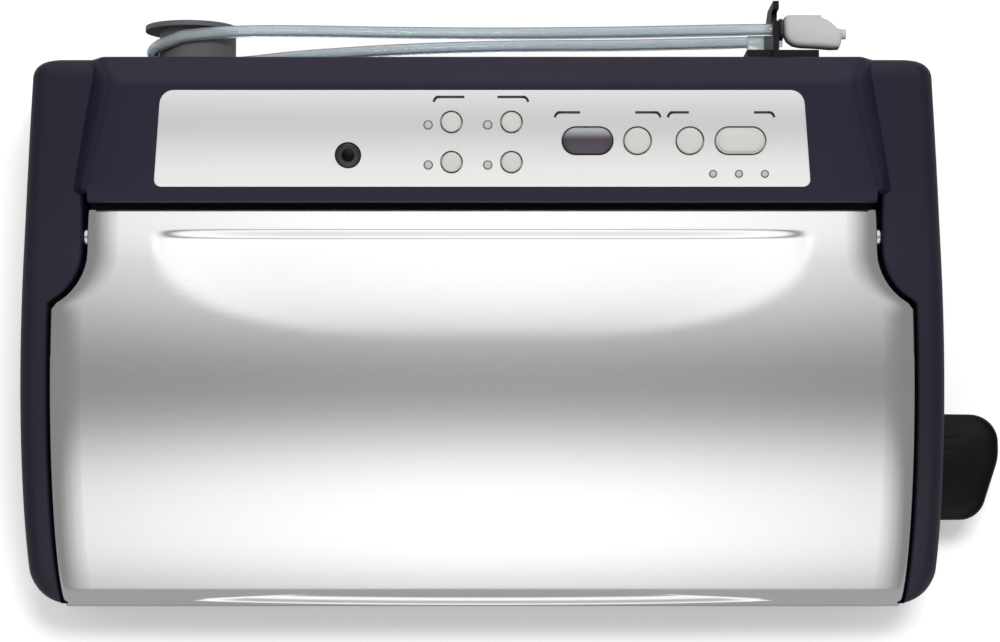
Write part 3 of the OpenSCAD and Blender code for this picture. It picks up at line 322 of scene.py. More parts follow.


# Satin metal of the control plate, with a soft band of painted shade above its middle
def plateFinish():
    made = Finish("panelSilver")
    streak = made.pattern(40, 3, (1, 40, 40))
    place = made.place.node("SeparateXYZ", into=0, out=1)
    low = (at(0, 65, 0).y, at(0, 107, 0).y)
    up = (place - low[0]) / (low[1] - low[0])
    away = (up - 0.66) / 0.33
    paintedShadeBand = away.math("POWER", math.e, away * away * -1)
    # Inside the band the plate's colour dims to the second, darker one, which is painted shade
    made.colour((0.87, 0.875, 0.855), (0.62, 0.635, 0.625), paintedShadeBand)
    made.put("Metallic", 0.3)
    made.put("Roughness", 0.38 + 0.05 * streak)
    made.bump(streak, 0.000005)
    return made.material


# Dark glossy key, with a painted highlight making it paler near its upper edge
def darkKey():
    made = Finish("darkKey")
    place = made.place.node("SeparateXYZ", into=0, out=1)
    low = at(0, 86.1 - 1, 0).y
    rise = place.node(
        "MapRange", into=0, interpolation_type="SMOOTHSTEP",
        inputs={"From Min": low + 0.0002, "From Max": low + 0.0048},
    )
    # The pale second colour is a painted highlight on the key's upper part
    made.colour((0.055, 0.042, 0.058), (0.34, 0.34, 0.35), rise)
    made.put("Roughness", 0.26 + 0.04 * made.pattern(300, 2))
    return made.material


finishes = {
    "housing_black": housingPlastic(),
    "deck_grey": plastic("deckGrey", (0.045, 0.045, 0.05), 0.5),
    "lid_silver": metal("lidSilver", (0.875, 0.885, 0.88), 0.17, (1, 14, 14), 80, 0.000002, 0.01),
    "panel_silver": plateFinish(),
    "steel": metal("polishedSteel", (0.72, 0.73, 0.75), 0.16),
    "bright_steel": metal("plainSteel", (0.55, 0.56, 0.58), 0.34),
    "rubber_black": plastic("blackRubber", (0.018, 0.018, 0.019), 0.75, 500, 0.00008),
    "key_light": plastic("lightKeys", (0.55, 0.56, 0.535), 0.32, 700, 0.00001, 0.1, 0.03),
    "key_dark": darkKey(),
    "lens": plastic("lampWindow", (0.47, 0.475, 0.46), 0.35, 600, 0.00001, 0.0, 0.04),
    "port_black": plastic("portBlack", (0.02, 0.018, 0.02), 0.28, 600, 0.00001, 0.3),
    "lever_black": plastic("leverBlack", (0.0025, 0.001, 0.002), 0.3, 700, 0.00001, shine=0.22),
    "stowed_black": plastic("stowedBlack", (0.006, 0.005, 0.008), 0.4, 700, 0.00002, shine=0.25),
    "board_green": plastic("boardGreen", (0.02, 0.14, 0.06), 0.4),
    "part_dark": plastic("darkPart", (0.05, 0.05, 0.055), 0.55),
    "part_light": plastic("lightPart", (0.7, 0.7, 0.66), 0.5),
    "heater_pale": plastic("heaterPale", (0.68, 0.65, 0.58), 0.6),
    "tape_tan": plastic("releaseTape", (0.42, 0.26, 0.13), 0.5, 1400, 0.00004),
    "silicone_red": plastic("redSilicone", (0.42, 0.06, 0.04), 0.55),
    "tube_clear": clear("clearTube", (0.8, 0.88, 0.92), 0.03, 0.8, 0.02),
    "core_steel": metal("coreSteel", (0.3, 0.28, 0.25), 0.5, (1, 1, 60), 60),
    "connector_grey": plastic("connectorGrey", (0.47, 0.475, 0.465), 0.5, 500, 0.00002),
    "tray_grey": plastic("trayGrey", (0.1, 0.1, 0.11), 0.4),
}
print("materials made")


# Pieces


def piece(name, mesh, finish, body, replaced=(), smooth=38, modifiers=(), turned=True):
    bmesh.ops.remove_doubles(mesh, verts=mesh.verts, dist=1e-6)
    if turned:
        bmesh.ops.recalc_face_normals(mesh, faces=mesh.faces)
    data = bpy.data.meshes.new(name)
    mesh.to_mesh(data)
    mesh.free()
    made = bpy.data.objects.new(name, data)
    bpy.context.scene.collection.objects.link(made)
    data.materials.append(finishes[finish])
    for kind, settings in modifiers:
        added = made.modifiers.new(kind, kind)
        for key, value in settings.items():
            setattr(added, key, value)
    data.set_sharp_from_angle(angle=math.radians(smooth))
    for face in data.polygons:
        face.use_smooth = True
    if replaced:
        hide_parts(*replaced)
    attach(made, body)
    return made


def join(mesh, other, cutter=None):
    data = bpy.data.meshes.new("joined")
    other.to_mesh(data)
    other.free()
    if cutter:
        data = carved(data, cutter)
    mesh.from_mesh(data)
    bpy.data.meshes.remove(data)


def carved(data, cutter):
    toolData = bpy.data.meshes.new("cutter")
    cutter.to_mesh(toolData)
    cutter.free()
    block = bpy.data.objects.new("block", data)
    tool = bpy.data.objects.new("tool", toolData)
    for item in (block, tool):
        bpy.context.scene.collection.objects.link(item)
    cut = block.modifiers.new("cut", "BOOLEAN")
    cut.operation, cut.solver, cut.object = "DIFFERENCE", "EXACT", tool
    graph = bpy.context.evaluated_depsgraph_get()
    made = bpy.data.meshes.new_from_object(block.evaluated_get(graph))
    for item in (block, tool):
        spare = item.data
        bpy.data.objects.remove(item)
        bpy.data.meshes.remove(spare)
    return made


def loft(mesh, rows, closed=False, ends=False):
    rings = [[mesh.verts.new(at(*point)) for point in row] for row in rows]
    for before, after in zip(rings, rings[1:]):
        count = len(before)
        for i in range(count if closed else count - 1):
            j = (i + 1) % count
            mesh.faces.new((before[i], before[j], after[j], after[i]))
    if ends:
        mesh.faces.new(rings[0])
        mesh.faces.new(rings[-1])
    return rings


def stadiumRing(radius, half, z, steps=48):
    ring = []
    for i in range(steps):
        angle = 2 * math.pi * (i + 0.5) / steps
        x = radius * math.cos(angle)
        ring.append(Vector((x + math.copysign(half, x), radius * math.sin(angle), z)) * mm)
    return ring


# Rings joined one after another, either capped at both ends or closed back onto the first ring
def capRings(mesh, rings, looped=False):
    made = [[mesh.verts.new(point) for point in ring] for ring in rings]
    if looped:
        made.append(made[0])
    for before, after in zip(made, made[1:]):
        for i in range(len(before)):
            j = (i + 1) % len(before)
            mesh.faces.new((before[i], before[j], after[j], after[i]))
    if not looped:
        mesh.faces.new(made[0])
        mesh.faces.new(made[-1])


# A slab on a flat outline, whose edges step in by each inset on the way up through its levels
def slab(mesh, outline, levels, place):
    line = [Vector(point) for point in outline]
    count = len(line)
    inward = []
    for i in range(count):
        ahead = (line[(i + 1) % count] - line[i]).normalized()
        behind = (line[i] - line[i - 1]).normalized()
        along = (ahead + behind).normalized()
        inward.append(Vector((-along.y, along.x)))
    capRings(mesh, [[place(line[i] + inward[i] * inset, z) for i in range(count)] for inset, z in levels])


# The hose comes before the other pieces


def smoothLine(points, count):
    line = []
    for i in range(len(points) - 1):
        a, b = Vector(points[max(i - 1, 0)]), Vector(points[i])
        c, d = Vector(points[i + 1]), Vector(points[min(i + 2, len(points) - 1)])
        for k in range(count + (i == len(points) - 2)):
            t = k / count
            bend, twist = 2 * a - 5 * b + 4 * c - d, 3 * b - a - 3 * c + d
            line.append(0.5 * (2 * b + (c - a) * t + bend * t**2 + twist * t**3))
    return line


spool = {"x": -134, "z": 77, "radius": 14.5}
clip = {"x": 132.7}
hose = {"radius": 2.75, "y": halfDepth + 14}
turnRadius = spool["radius"] + hose["radius"] + 0.25
clipTopZ = spool["z"] + turnRadius
clipLowZ = spool["z"] - turnRadius


def hoseRoute():
    y, top, low = hose["y"], clipTopZ, clipLowZ
    route = [(clip["x"] + 3.6, y, top), (clip["x"] - 10, y, top - 0.3), (100, y, top - 2.6)]
    route += [(60, y, top - 7), (10, y, top - 9.5), (-40, y, top - 7.6)]
    route += [(-85, y - 0.1, top - 3), (-112, y - 0.8, top - 0.4)]
    for i in range(9):
        angle = math.radians(90 + 22.5 * i)
        x, z = spool["x"] + turnRadius * math.cos(angle), spool["z"] + turnRadius * math.sin(angle)
        route.append((x, halfDepth + 4.2 + 7.2 * (1 - i / 8) ** 2.2, z))
    route += [(-112, halfDepth + 5, low - 0.6), (-85, y - 5.8, low - 3), (-40, y - 2, low - 7.6)]
    route += [(10, y, low - 9.5), (60, y, low - 7), (100, y, low - 2.6)]
    return route + [(clip["x"] - 16, y, low - 0.3), (clip["x"] - 9, y, low)]


def sweep(mesh, line, radius, sides=16):
    turns = [2 * math.pi * i / sides for i in range(sides)]
    rows = []
    for i, point in enumerate(line):
        ahead = (line[min(i + 1, len(line) - 1)] - line[max(i - 1, 0)]).normalized()
        side = ahead.cross(Vector((0, 1, 0.02))).normalized()
        up = side.cross(ahead)
        rows.append([point + radius * (side * math.cos(a) + up * math.sin(a)) for a in turns])
    loft(mesh, rows, closed=True, ends=True)


def hoseConnector():
    mesh = bmesh.new()
    outline = [(0.1, 2.3), (0.3, -2.7), (1.6, -5.4), (4.4, -7.4), (8, -8.1), (14.8, -8.4)]
    outline += [(21.6, -9), (25.2, -8.8), (26.2, -6.5), (26.7, -2.2), (26.2, -0.4), (24.2, 0.5)]
    outline += [(22.1, 2.7), (19.8, 4.3), (17.5, 5.1), (17.1, 6.3), (2.2, 6.3), (0.6, 5.4)]
    levels = [(2.4, -5.8), (1.2, -5.4), (0.3, -4.2), (0, -2.5)]
    levels += [(0, 2.2), (0.3, 4), (1.1, 5.1), (2.2, 5.6)]
    start = (clip["x"] + 3.6, hose["y"], clipTopZ)
    slab(mesh, outline, levels, lambda flat, z: at(start[0] + flat.x, start[1] + flat.y, start[2] + z))
    turn = Matrix.Rotation(math.radians(90), 4, "Y")
    tip = bmesh.new()
    profile = [(2.3, 24), (2.3, 28.3), (2, 28.6), (1.3, 28.6), (1.2, 27), (0.05, 27)]
    capRings(tip, [stadiumRing(r, 0, z, 32) for r, z in profile])
    tipAt = at(start[0], start[1] - 2.1, start[2])
    bmesh.ops.transform(tip, matrix=Matrix.Translation(tipAt) @ turn, verts=tip.verts)
    join(mesh, tip)
    piece("hoseConnector", mesh, "connector_grey", "base", ["hose_connector"], 40)
    ring = bmesh.new()
    profile = [(3.4, -2.0), (4.6, -1.9), (5, -1.4), (5, -0.3), (4.5, 0.05), (3.4, 0.1)]
    capRings(ring, [stadiumRing(r, 0, z, 40) for r, z in profile])
    bmesh.ops.transform(ring, matrix=Matrix.Translation(at(*start)) @ turn, verts=ring.verts)
    return piece("connectorRing", ring, "port_black", "base", (), 40)


def accessoryHose():
    mesh = bmesh.new()
    line = smoothLine(hoseRoute(), 8)
    sweep(mesh, line, hose["radius"], 24)
    bmesh.ops.recalc_face_normals(mesh, faces=mesh.faces)
    bore = bmesh.new()
    sweep(bore, line[1:-1], hose["radius"] * 0.6, 16)
    bmesh.ops.recalc_face_normals(bore, faces=bore.faces)
    bmesh.ops.reverse_faces(bore, faces=bore.faces)
    join(mesh, bore)
    made = piece("accessoryHose", mesh, "tube_clear", "base", ["accessory_hose"], 60, turned=False)
    path = [at(*point) for point in line]
    return made


hoseConnector()
accessoryHose()
print("hose made")


# The lid

lidShape = {
    "sideRound": 2.4,
    "sideWide": 14,
    "rearRound": 0.7,
    "wall": 2.4,
    "sideStepY": -27.5,
    "sideStepZ": 72,
    "scoopDepth": 3.2,
    "scoopHalf": 148,
    "scoopRun": 49,
    "stepTop": 46.8,
    "stepFoot": 42.4,
    "grooveHalf": 134,
    "grooveDepth": 2.3,
    "grooveFall": 5,
    "grooveRise": 5.2,
}

# Heights above the lid's front edge: foot and top of the ledge, top of the slope, top of the front rows
grooveFoot, grooveLedge, grooveSlope, grooveTop = 11.1, 11.5, 12.4, 18.5


def scoopDrop(x, y):
    back = (lidShape["stepTop"] - y) / lidShape["scoopRun"]
    if back < 0 or back >= 1:
        return 0
    half = lidShape["scoopHalf"] * (1 - back**2.6) ** (1 / 2.6)
    if abs(x) >= half:
        return 0
    across = 1 - (abs(x) / half) ** 6
    slope = (1 - back) ** 1.4
    riser = clamp((lidShape["stepTop"] - y) / (lidShape["stepTop"] - lidShape["stepFoot"]), 0, 1)
    riser = riser * riser * (3 - 2 * riser)
    return lidShape["scoopDepth"] * across * slope * riser


# The finger groove spreads the front rows apart towards the middle of the lid and pushes them inwards
def grooved(point, height):
    x, y, z = point
    share = 1 - (x / lidShape["grooveHalf"]) ** 2
    if share <= 0:
        return point
    fall, rise = lidShape["grooveFall"], lidShape["grooveRise"]
    if height < grooveFoot:
        lift, push = -fall * height / grooveFoot, 0
    elif height < grooveLedge:
        t = (height - grooveFoot) / (grooveLedge - grooveFoot)
        lift, push = -fall, t * t * (3 - 2 * t)
    elif height < grooveSlope:
        t = (height - grooveLedge) / (grooveSlope - grooveLedge)
        lift, push = (fall + rise) * t - fall, (1 - t) ** 0.75
    else:
        lift, push = rise * (grooveTop - height) / (grooveTop - grooveSlope), 0
    z = lidEdgeZ + height + lift * share
    return (x, lidCurveY(z) + lidShape["grooveDepth"] * min(3 * share, 1) * push, z)


def lidFootZ(y):
    if y < frontY + 10:
        return lidEdgeZ
    if y < lidShape["sideStepY"]:
        return lidEdgeZ + 3.5
    if y < crestY:
        return lidShape["sideStepZ"]
    return hingeZ + 5.5


def lidRow(y, top):
    half = lidSideX(y)
    foot = min(lidFootZ(y), top)
    radius = min(lidShape["sideRound"], top - foot)
    wide = lidShape["sideWide"] * radius / lidShape["sideRound"]
    left = [(-half, foot), (-half, (foot + top - radius) / 2)]
    for i in range(7):
        angle = math.radians(15 * i)
        left.append((-half + wide * (1 - math.cos(angle)), top - radius * (1 - math.sin(angle))))
    inner = half - wide
    columns = [-inner * math.cos(math.pi * i / 96) for i in range(1, 96)]
    points = left + [(x, top) for x in columns] + [(-x, z) for x, z in reversed(left)]
    return [(x, y, z - scoopDrop(x, y) if z > top - 0.01 else z) for x, z in points]


def lidCover():
    mesh = bmesh.new()
    heights = [0.01] + spread(0.7, grooveFoot, 10) + spread(grooveFoot, grooveLedge, 5)[1:]
    heights += spread(grooveLedge, grooveSlope, 14)[1:] + spread(grooveSlope, grooveTop, 14)[1:]
    rows = []
    for height in heights:
        z = lidEdgeZ + height
        rows.append([grooved(p, height) if p[2] > z - 0.01 else p for p in lidRow(lidCurveY(z), z)])
    start, step = lidCurveY(lidEdgeZ + grooveTop), lidShape["sideStepY"]
    stops = spread(start, step - 0.1, 22)[1:] + spread(step + 0.1, crestY - 0.1, 22)
    foot, top = lidShape["stepFoot"], lidShape["stepTop"]
    stops += spread(crestY + 0.1, foot - 0.4, 6) + spread(foot, top, 14)
    edge = lidShape["rearRound"]
    stops += spread(top + 0.4, lidRearY - edge, 6)
    rows += [lidRow(y, lidCurveZ(y)) for y in stops]
    for angle in (22.5, 45, 67.5, 90):
        turn = math.radians(angle)
        y = lidRearY - edge * (1 - math.sin(turn))
        rows.append(lidRow(y, lidCurveZ(lidRearY) - edge * (1 - math.cos(turn))))
    rows.append(lidRow(lidRearY, hingeZ + 5.6))
    loft(mesh, rows)
    wall = ("SOLIDIFY", {"thickness": lidShape["wall"] * mm, "offset": -1, "use_rim": True})
    return piece("lidCover", mesh, "lid_silver", "lid", ["lid_cover"], 30, [wall])


lidCover()
print("lid made")


# Controls on the panel's own plane

panelTilt = math.radians(14)
creaseY = halfDepth - 12.6
creaseZ = podTopZ + 0.55
panelY = (creaseY + podFrontY) / 2 - 1.1
panelZ = creaseZ - (creaseY - panelY) * math.tan(panelTilt)
panelAt = Matrix.Translation(at(0, panelY, panelZ)) @ Matrix.Rotation(panelTilt, 4, "X")
plateTop = 0.2


def onPanel(mesh, x, y, z=0.0, scale=(1, 1, 1)):
    place = panelAt @ Matrix.Translation(Vector((x, y, z)) * mm) @ Matrix.Diagonal((*scale, 1))
    bmesh.ops.transform(mesh, matrix=place, verts=mesh.verts)


keys = {
    "fast": (-13.7, 7.4, 4.5, 0),
    "normal": (-13.7, -10.6, 4.5, 0),
    "moist": (13.1, 7.4, 4.5, 0),
    "dry": (13.1, -10.6, 4.5, 0),
    "vacuum_seal": (47.1, -1, 5.9, 5.15),
    "canister": (69.4, -1, 5.9, 0),
    "pulse": (92.8, -1, 5.9, 0),
    "seal": (115.4, -1, 5.9, 5.15),
}
lampPlaces = [(x, y, 2.05) for x in (-24.1, 2.5) for y in (6.1, -11.9)]
lampPlaces += [(103.4 + 11.6 * i, -15.9, 1.75) for i in range(3)]
portPlace = (-60, -7.5)


def panelHoles():
    holes = bmesh.new()
    places = [(x, y, radius + 0.65, half) for x, y, radius, half in keys.values()]
    places += [(x, y, wide, 0) for x, y, wide in lampPlaces] + [(*portPlace, 5.6, 0)]
    for x, y, radius, half in places:
        one = bmesh.new()
        capRings(one, [stadiumRing(radius, half, z) for z in (-12, 3)])
        bmesh.ops.recalc_face_normals(one, faces=one.faces)
        onPanel(one, x, y)
        join(holes, one)
    return holes


# The housing: rails and shoulders on both sides, front bar, pod


def railRow(y, innerX, side):
    outer = railOuterX(y)
    top = railTopZ(y)
    width = max(outer - innerX, 0.2)
    big = min(body["outerRound"], width * 0.6, top - 36)
    small = min(body["innerRound"], width * 0.3)
    points = [(outer, body["partingZ"]), (outer, 40.0), (outer, top - big)]
    for i in range(1, 9):
        angle = math.radians(90 * i / 8)
        points.append((outer - big * (1 - math.cos(angle)), top - big * (1 - math.sin(angle))))
    points += [(outer - big - (width - big - small) * share, top) for share in (0.33, 0.66)]
    for i in range(5):
        angle = math.radians(90 * i / 4)
        points.append((innerX + small * (1 - math.sin(angle)), top - small * (1 - math.cos(angle))))
    points.append((innerX, body["partingZ"]))
    return [(side * x, y, z) for x, z in points]


def podProfile(reach):
    lipY, lipZ = podFrontY - reach, lidTopZ + body["lipRise"]
    lipTop = creaseZ - (creaseY - lipY) * math.tan(panelTilt)
    corners = [
        ((podFrontY, lipZ), 0.2), ((lipY, lipZ), 0.4 if reach > 1 else 0.02), ((lipY, lipTop), 2.4),
        ((creaseY, creaseZ), 6), ((halfDepth, podTopZ - 10.4), 4),
    ]
    line = [(podFrontY, body["partingZ"])] + [corner for corner, radius in corners]
    line.append((halfDepth, body["partingZ"]))
    made = [line[0]]
    for i, (corner, radius) in enumerate(corners):
        made += rounded(corner, line[i], line[i + 2], radius)
    return made + [line[-1]]


def rounded(corner, before, after, radius, steps=6):
    corner, before, after = Vector(corner), Vector(before), Vector(after)
    first = (before - corner).normalized()
    second = (after - corner).normalized()
    half = math.acos(clamp(first.dot(second), -1, 1)) / 2
    centre = corner + (first + second).normalized() * radius / math.sin(half)
    start = corner + first * radius / math.tan(half) - centre
    end = corner + second * radius / math.tan(half) - centre
    turn = start.angle_signed(end)
    return [tuple(centre + Matrix.Rotation(-turn * i / steps, 2) @ start) for i in range(steps + 1)]


podSides = {"halfTop": 166, "planTurn": 5.5, "slope": 34, "blockHalf": 210, "railInner": 120}
frontBar = {"half": 195, "top": 44.2, "inset": 5.5}


def housing():
    mesh = bmesh.new()
    gap, hinge = body["railGap"], body["hingeGap"]
    corner, rear = body["frontCorner"], body["rearRound"]
    bend = shoulderY - body["shoulderRadius"] + 0.5
    stops = [bodyFrontY + corner * (1 - math.cos(math.radians(90 * i / 12))) for i in range(13)]
    stops += spread(bodyFrontY + corner, bend, 26)[1:] + spread(bend, shoulderY, 16)[1:]
    stops += spread(shoulderY, podFrontY, 5)[1:]
    deep = spread(podFrontY, halfDepth - rear, 12)
    deep += [halfDepth - rear + rear * math.sin(math.radians(90 * i / 8)) for i in range(1, 9)]
    for side in (-1, 1):
        rows = [railRow(y, lidSideX(y, gap, hinge), side) for y in stops]
        rows += [railRow(y, podSides["railInner"], side) for y in deep]
        loft(mesh, rows, ends=True)
    foot, top, half = body["partingZ"], frontBar["top"], frontBar["half"]
    inside = frontY + frontBar["inset"]
    front = [(bodyFrontY, foot), (bodyFrontY, top - 1.2), (bodyFrontY + 1.2, top)]
    front += [(inside, top), (inside, foot)]
    loft(mesh, [[(x, y, z) for y, z in front] for x in (-half, 0, half)], closed=True, ends=True)
    pod = bmesh.new()
    lipEnd, blockEnd = body["hingeHalf"] - 1, podSides["blockHalf"]
    stops = [(x, 0.05) for x in spread(-blockEnd, -lipEnd - 0.1, 3)]
    stops += [(x, body["lipReach"]) for x in spread(-lipEnd, lipEnd, 18)]
    stops += [(x, 0.05) for x in spread(lipEnd + 0.1, blockEnd, 3)]
    loft(pod, [[(x, y, z) for y, z in podProfile(reach)] for x, reach in stops], closed=True, ends=True)
    for side in (-1, 1):
        turn = Matrix.Rotation(math.radians(podSides["planTurn"]), 3, "Z")
        normal = turn @ Matrix.Rotation(math.radians(-podSides["slope"]), 3, "Y") @ Vector((1, 0, 0))
        normal.x *= side
        edge = at(side * podSides["halfTop"], creaseY, creaseZ)
        kept = pod.verts[:] + pod.edges[:] + pod.faces[:]
        cut = bmesh.ops.bisect_plane(pod, geom=kept, plane_co=edge, plane_no=normal, clear_outer=True)
        rim = [e for e in cut["geom_cut"] if isinstance(e, bmesh.types.BMEdge)]
        bmesh.ops.holes_fill(pod, edges=rim)
        bmesh.ops.bevel(
            pod, geom=rim, offset=2.5 * mm, segments=4, profile=0.5, affect="EDGES", material=-1
        )
    join(mesh, pod, panelHoles())
    return piece("housing", mesh, "housing_black", "base", ["upper_housing"], 40)


housing()
print("housing made")


keyTop = {"play": 0.1, "round": 0.45, "edge": 1.1, "crown": 0.4}


def makeKey(name):
    x, y, radius, half = keys[name]
    mesh = bmesh.new()
    skirt, stem = radius + 1.2, radius * 0.4
    profile = [(stem, -8.0), (stem, -3.4), (skirt, -3.3), (skirt, -2.9), (radius, -2.9)]
    radius -= keyTop["play"]
    flat = radius - keyTop["round"]
    profile += [(radius, 0.5), (radius - 0.12, 0.85), (flat, keyTop["edge"])]
    for share in (0.8, 0.6, 0.4, 0.2, 0.05):
        rise = keyTop["crown"] * (1 - (share * radius / flat) ** 2)
        profile.append((radius * share, keyTop["edge"] + rise))
    capRings(mesh, [stadiumRing(r, half, z) for r, z in profile])
    if name == "seal":
        inner = [(radius - 1.05, 1.1), (radius - 1.1, 1.9), (radius - 1.4, 2.1), (radius - 3.5, 2.2)]
        capRings(mesh, [stadiumRing(r, half, z) for r, z in inner])
    onPanel(mesh, x, y)
    finish = "key_dark" if name == "vacuum_seal" else "key_light"
    return piece(name + "Key", mesh, finish, "key_" + name, [name + "_button"], 50)


for keyName in keys:
    makeKey(keyName)


def accessoryPort():
    mesh = bmesh.new()
    profile = [(2.3, -22), (2.3, -16), (5.0, -16), (5.0, -3.5)]
    profile += [(5.35, -3.5), (5.35, 0.5), (5.1, 0.85), (4.6, 1.0)]
    profile += [(3.05, 1.0), (2.75, 0.7), (2.6, 0), (2.6, -13), (0.05, -13)]
    capRings(mesh, [stadiumRing(r, 0, z) for r, z in profile])
    onPanel(mesh, *portPlace)
    return piece("accessoryPort", mesh, "port_black", "base", ["accessory_port"], 45)


accessoryPort()


def lampWindows():
    windows, rims = bmesh.new(), bmesh.new()
    for x, y, wide in lampPlaces:
        inner = wide - 0.4
        window = [(inner, -8), (inner, 0.1), (inner - 0.25, 0.3), (inner * 0.5, 0.42), (0.05, 0.45)]
        rim = [(inner + 0.02, -1), (wide + 0.1, -1), (wide + 0.1, 0.24)]
        rim += [(wide - 0.1, 0.3), (inner + 0.02, 0.12)]
        for mesh, profile in ((windows, window), (rims, rim)):
            one = bmesh.new()
            capRings(one, [stadiumRing(r, 0, z, 32) for r, z in profile])
            onPanel(one, x, y)
            join(mesh, one)
    piece("lampRims", rims, "core_steel", "base", (), 50)
    return piece("lampWindows", windows, "lens", "base", ["indicator_lenses"], 50)


lampWindows()


def ink(name, strokes, width=1.12):
    mesh = bmesh.new()
    for points in strokes:
        for (x0, y0), (x1, y1) in zip(points, points[1:]):
            along = Vector((x1 - x0, y1 - y0)).normalized() * width / 2
            across = Vector((-along.y, along.x))
            low, high = Vector((x0, y0)) - along, Vector((x1, y1)) + along
            corners = [low - across, high - across, high + across, low + across]
            lifted = [Vector((c.x, c.y, plateTop + 0.02)) * mm for c in corners]
            face = mesh.faces.new([mesh.verts.new(point) for point in lifted])
            grown = bmesh.ops.extrude_face_region(mesh, geom=[face])
            moved = [v for v in grown["geom"] if isinstance(v, bmesh.types.BMVert)]
            bmesh.ops.translate(mesh, verts=moved, vec=Vector((0, 0, 0.03 * mm)))
    onPanel(mesh, 0, 0)
    return piece(name, mesh, "port_black", "base")


def bracket(left, right, y, gapLeft, gapRight):
    hook = [(0, y - 1.7), (0.5, y - 0.8), (1.3, y - 0.15), (2.2, y)]
    first = [(left + inward, height) for inward, height in hook] + [(gapLeft, y)]
    last = [(gapRight, y)] + [(right - inward, height) for inward, height in reversed(hook)]
    return [first, last]


ink(
    "panelBrackets",
    bracket(-21.4, 20.4, 18.6, -8.4, 7.4) + bracket(32.6, 79.4, 11.7, 43.2, 68.9)
    + bracket(83.0, 130.2, 11.7, 91.7, 121.8),
)


def plateRim():
    mesh = bmesh.new()
    low, high, tall = 147.25, 143.2, 21.65
    corners = [(-low, -tall), (low, -tall), (high, tall), (-high, tall)]
    radii = [3, 3, 6.5, 6.5]
    line = []
    for i in range(4):
        line += rounded(corners[i], corners[i - 1], corners[(i + 1) % 4], radii[i], 8)
    rings = []
    for inset, z in ((0.0, -0.5), (0.0, 0.15), (0.15, 0.3), (0.55, 0.32), (0.75, 0.22), (0.75, 0.0)):
        ring = []
        for x, y in line:
            ring.append(Vector((x * (1 - inset / low), y * (1 - inset / tall), z)) * mm)
        rings.append(ring)
    capRings(mesh, rings, looped=True)
    onPanel(mesh, 0, 0)
    return piece("plateRim", mesh, "panel_silver", "base", (), 50)


plateRim()
print("panel made")


# The latch lever


lever = {"axisZ": 38, "rearY": -34.4, "frontY": -84.2, "reach": 32}


def leverTop(y):
    back = clamp((y + 86) / 28, 0, 1)
    return 0.8 + 4.5 * back * (2 - back) - 1.8 * clamp((y + 46) / 10, 0, 1) ** 2


def leverFoot(y):
    return -4.4 - 1.2 * clamp((y + 86) / 26, 0, 1) + 2.4 * clamp((y + 60) / 26, 0, 1)


def latchLever():
    mesh = bmesh.new()
    hub = sideX(-52) + 0.9
    tip = halfWidth + lever["reach"]
    corners = [((hub, lever["rearY"]), 1.5), ((hub, lever["frontY"]), 1.5), ((tip - 9, -84), 12)]
    corners += [((tip + 0.3, -55), 24), ((tip, -34.8), 13)]
    outline = []
    for i, (corner, radius) in enumerate(corners):
        outline += rounded(corner, corners[i - 1][0], corners[(i + 1) % 5][0], radius, 10)
    levels = [(3, 0), (1.2, 0.08), (0.3, 0.22), (0, 0.4), (0, 0.6)]
    levels += [(0.4, 0.8), (1.4, 0.95), (3.2, 1.0), (7, 1.0)]

    def place(flat, share):
        foot, top = leverFoot(flat.y), leverTop(flat.y)
        return at(flat.x, flat.y, lever["axisZ"] + foot + (top - foot) * share)

    slab(mesh, outline, levels, place)
    for y in (-50, -44.9):
        ridge = lever["axisZ"] + leverTop(y) - 0.25
        line = [Vector((x, y, ridge)) for x in (hub + 1, hub + 8, hub + 14.6)]
        sweep(mesh, line, 0.6, 12)
    return piece("latchLever", mesh, "lever_black", "latch", ["latch_lever"], 50)


latchLever()


# Carried-over pieces take their finish from the same list

carried = {
    "base_pan": "housing_black", "rubber_feet": "rubber_black", "base_screws": "bright_steel",
    "cord_gland": "rubber_black", "deck": "deck_grey", "drip_tray": "tray_grey",
    "lower_gasket": "rubber_black", "heater_bar": "heater_pale", "heating_element": "bright_steel",
    "release_tape": "tape_tan",
    "hinge_pins": "bright_steel", "control_plate": "panel_silver", "control_board": "board_green",
    "tact_switches": "part_dark", "indicator_leds": "part_light", "board_screws": "bright_steel",
    "lid_liner": "deck_grey", "lid_screws": "bright_steel", "hinge_barrels": "steel",
    "upper_gasket": "rubber_black", "pressure_strip": "silicone_red", "lid_catches": "bright_steel",
    "catch_pins": "steel",
    "latch_shaft": "bright_steel", "latch_hooks": "bright_steel", "lever_pin": "bright_steel",
    "pump_motor": "bright_steel", "pump_fan": "part_dark", "pump_head": "part_dark",
    "pump_straps": "bright_steel",
    "vacuum_tube": "tube_clear", "port_tube": "tube_clear", "release_valve": "part_dark",
    "valve_plunger": "steel",
    "power_board": "board_green", "transformer": "core_steel", "hose_spool": "tray_grey",
    "spool_screw": "bright_steel", "hose_clip": "stowed_black", "clip_screws": "bright_steel",
    "hose_plug": "tube_clear",
}
for node, finish in carried.items():
    carriedObject = bpy.data.objects[node]
    carriedObject.data.materials.clear()
    carriedObject.data.materials.append(finishes[finish])
print("carried pieces finished")


# Floor, backdrop and light

studio = {
    "floor": (0.93, 0.93, 0.935),
    "reflectedShade": (0.36, 0.36, 0.37),
    "floorGlow": 0.18,
    "plain": 0.64,
    "bright": 1.3,
    "gapTilt": 0.175,
    "gapRear": 0.23,
    "gapFront": 0.215,
    "gapDepth": 0.745,
    "sideLevel": 0.25,
    "sideWidth": 0.24,
    "farTilt": 0.75,
    "farLevel": 0.72,
    "lamp": {"place": (220, 600, 2200), "aim": (0, 0, 60), "size": (600, 450), "power": 27},
}


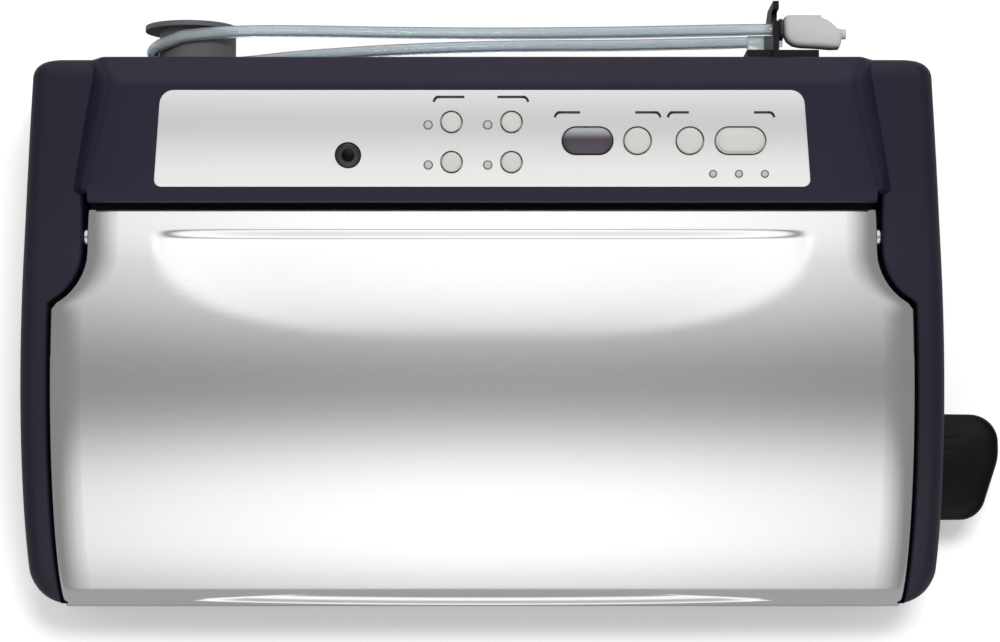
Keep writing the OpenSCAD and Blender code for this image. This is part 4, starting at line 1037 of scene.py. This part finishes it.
def makeFloor():
    mesh = bmesh.new()
    bmesh.ops.create_grid(mesh, x_segments=2, y_segments=2, size=12)
    data = bpy.data.meshes.new("floor")
    mesh.to_mesh(data)
    mesh.free()
    floor = bpy.data.objects.new("floor", data)
    bpy.context.scene.collection.objects.link(floor)
    made = Finish("paleFloor")
    made.put("Roughness", 0.8)
    made.put("Specular IOR Level", 0.0)
    paths = made.tree.nodes.new("ShaderNodeLightPath")
    seen = Field(made.tree, paths.outputs["Is Camera Ray"])
    through = Field(made.tree, paths.outputs["Is Transmission Ray"])
    glossy = Field(made.tree, paths.outputs["Is Glossy Ray"])
    made.put("Emission Color", (1, 1, 1, 1))
    ((seen + through) * studio["floorGlow"]).feed(made.shader.inputs["Emission Strength"])
    # Glossy rays see the floor in the darker second colour: painted shade in reflections, standing in for
    # the floor's shadow near the object
    made.colour(studio["floor"], studio["reflectedShade"], glossy)
    data.materials.append(made.material)


# Shiny pieces see a wide soft light with a dimmer gap in front of the camera, all else a plain level
def makeWorld():
    world = bpy.data.worlds.new("studio")
    bpy.context.scene.world = world
    world.use_nodes = True
    tree = world.node_tree
    back = tree.nodes["Background"]
    back.inputs["Color"].default_value = (1, 1, 1, 1)
    place = tree.nodes.new("ShaderNodeTexCoord")
    way = tree.nodes.new("ShaderNodeSeparateXYZ")
    tree.links.new(place.outputs["Generated"], way.inputs[0])
    across, along, up = (Field(tree, way.outputs[i]) for i in range(3))
    tilt = up.math("ARCTAN2", along * -1, up) - studio["gapTilt"]
    away = up.math("MAXIMUM", tilt / studio["gapFront"], tilt / -studio["gapRear"])
    gap = up.math("POWER", math.e, away * away * -1)
    edge = across / studio["sideWidth"]
    low = up.math("ARCTAN2", along * -1, up).node(
        "MapRange", interpolation_type="SMOOTHSTEP", inputs={"From Min": studio["farTilt"], "From Max": 1.5}
    )
    centre = studio["bright"] * (1 - gap * studio["gapDepth"]) * (1 - low * (1 - studio["farLevel"]))
    shiny = up.math("MAXIMUM", centre / (edge * edge + 1), studio["sideLevel"])
    paths = tree.nodes.new("ShaderNodeLightPath")
    glossy = Field(tree, paths.outputs["Is Glossy Ray"])
    (studio["plain"] + glossy * (shiny - studio["plain"])).feed(back.inputs["Strength"])


def makeLamp():
    lamp = studio["lamp"]
    light = bpy.data.lights.new("softLamp", "AREA")
    light.shape = "RECTANGLE"
    light.size, light.size_y = (size * mm for size in lamp["size"])
    light.energy = lamp["power"]
    made = bpy.data.objects.new("softLamp", light)
    made.location = at(*lamp["place"])
    made.visible_glossy = False
    made.rotation_mode = "QUATERNION"
    made.rotation_quaternion = (at(*lamp["aim"]) - made.location).to_track_quat("-Z", "Y")
    bpy.context.scene.collection.objects.link(made)


makeFloor()
makeWorld()
makeLamp()
bpy.context.scene.view_settings.view_transform = "Standard"
print("studio made")
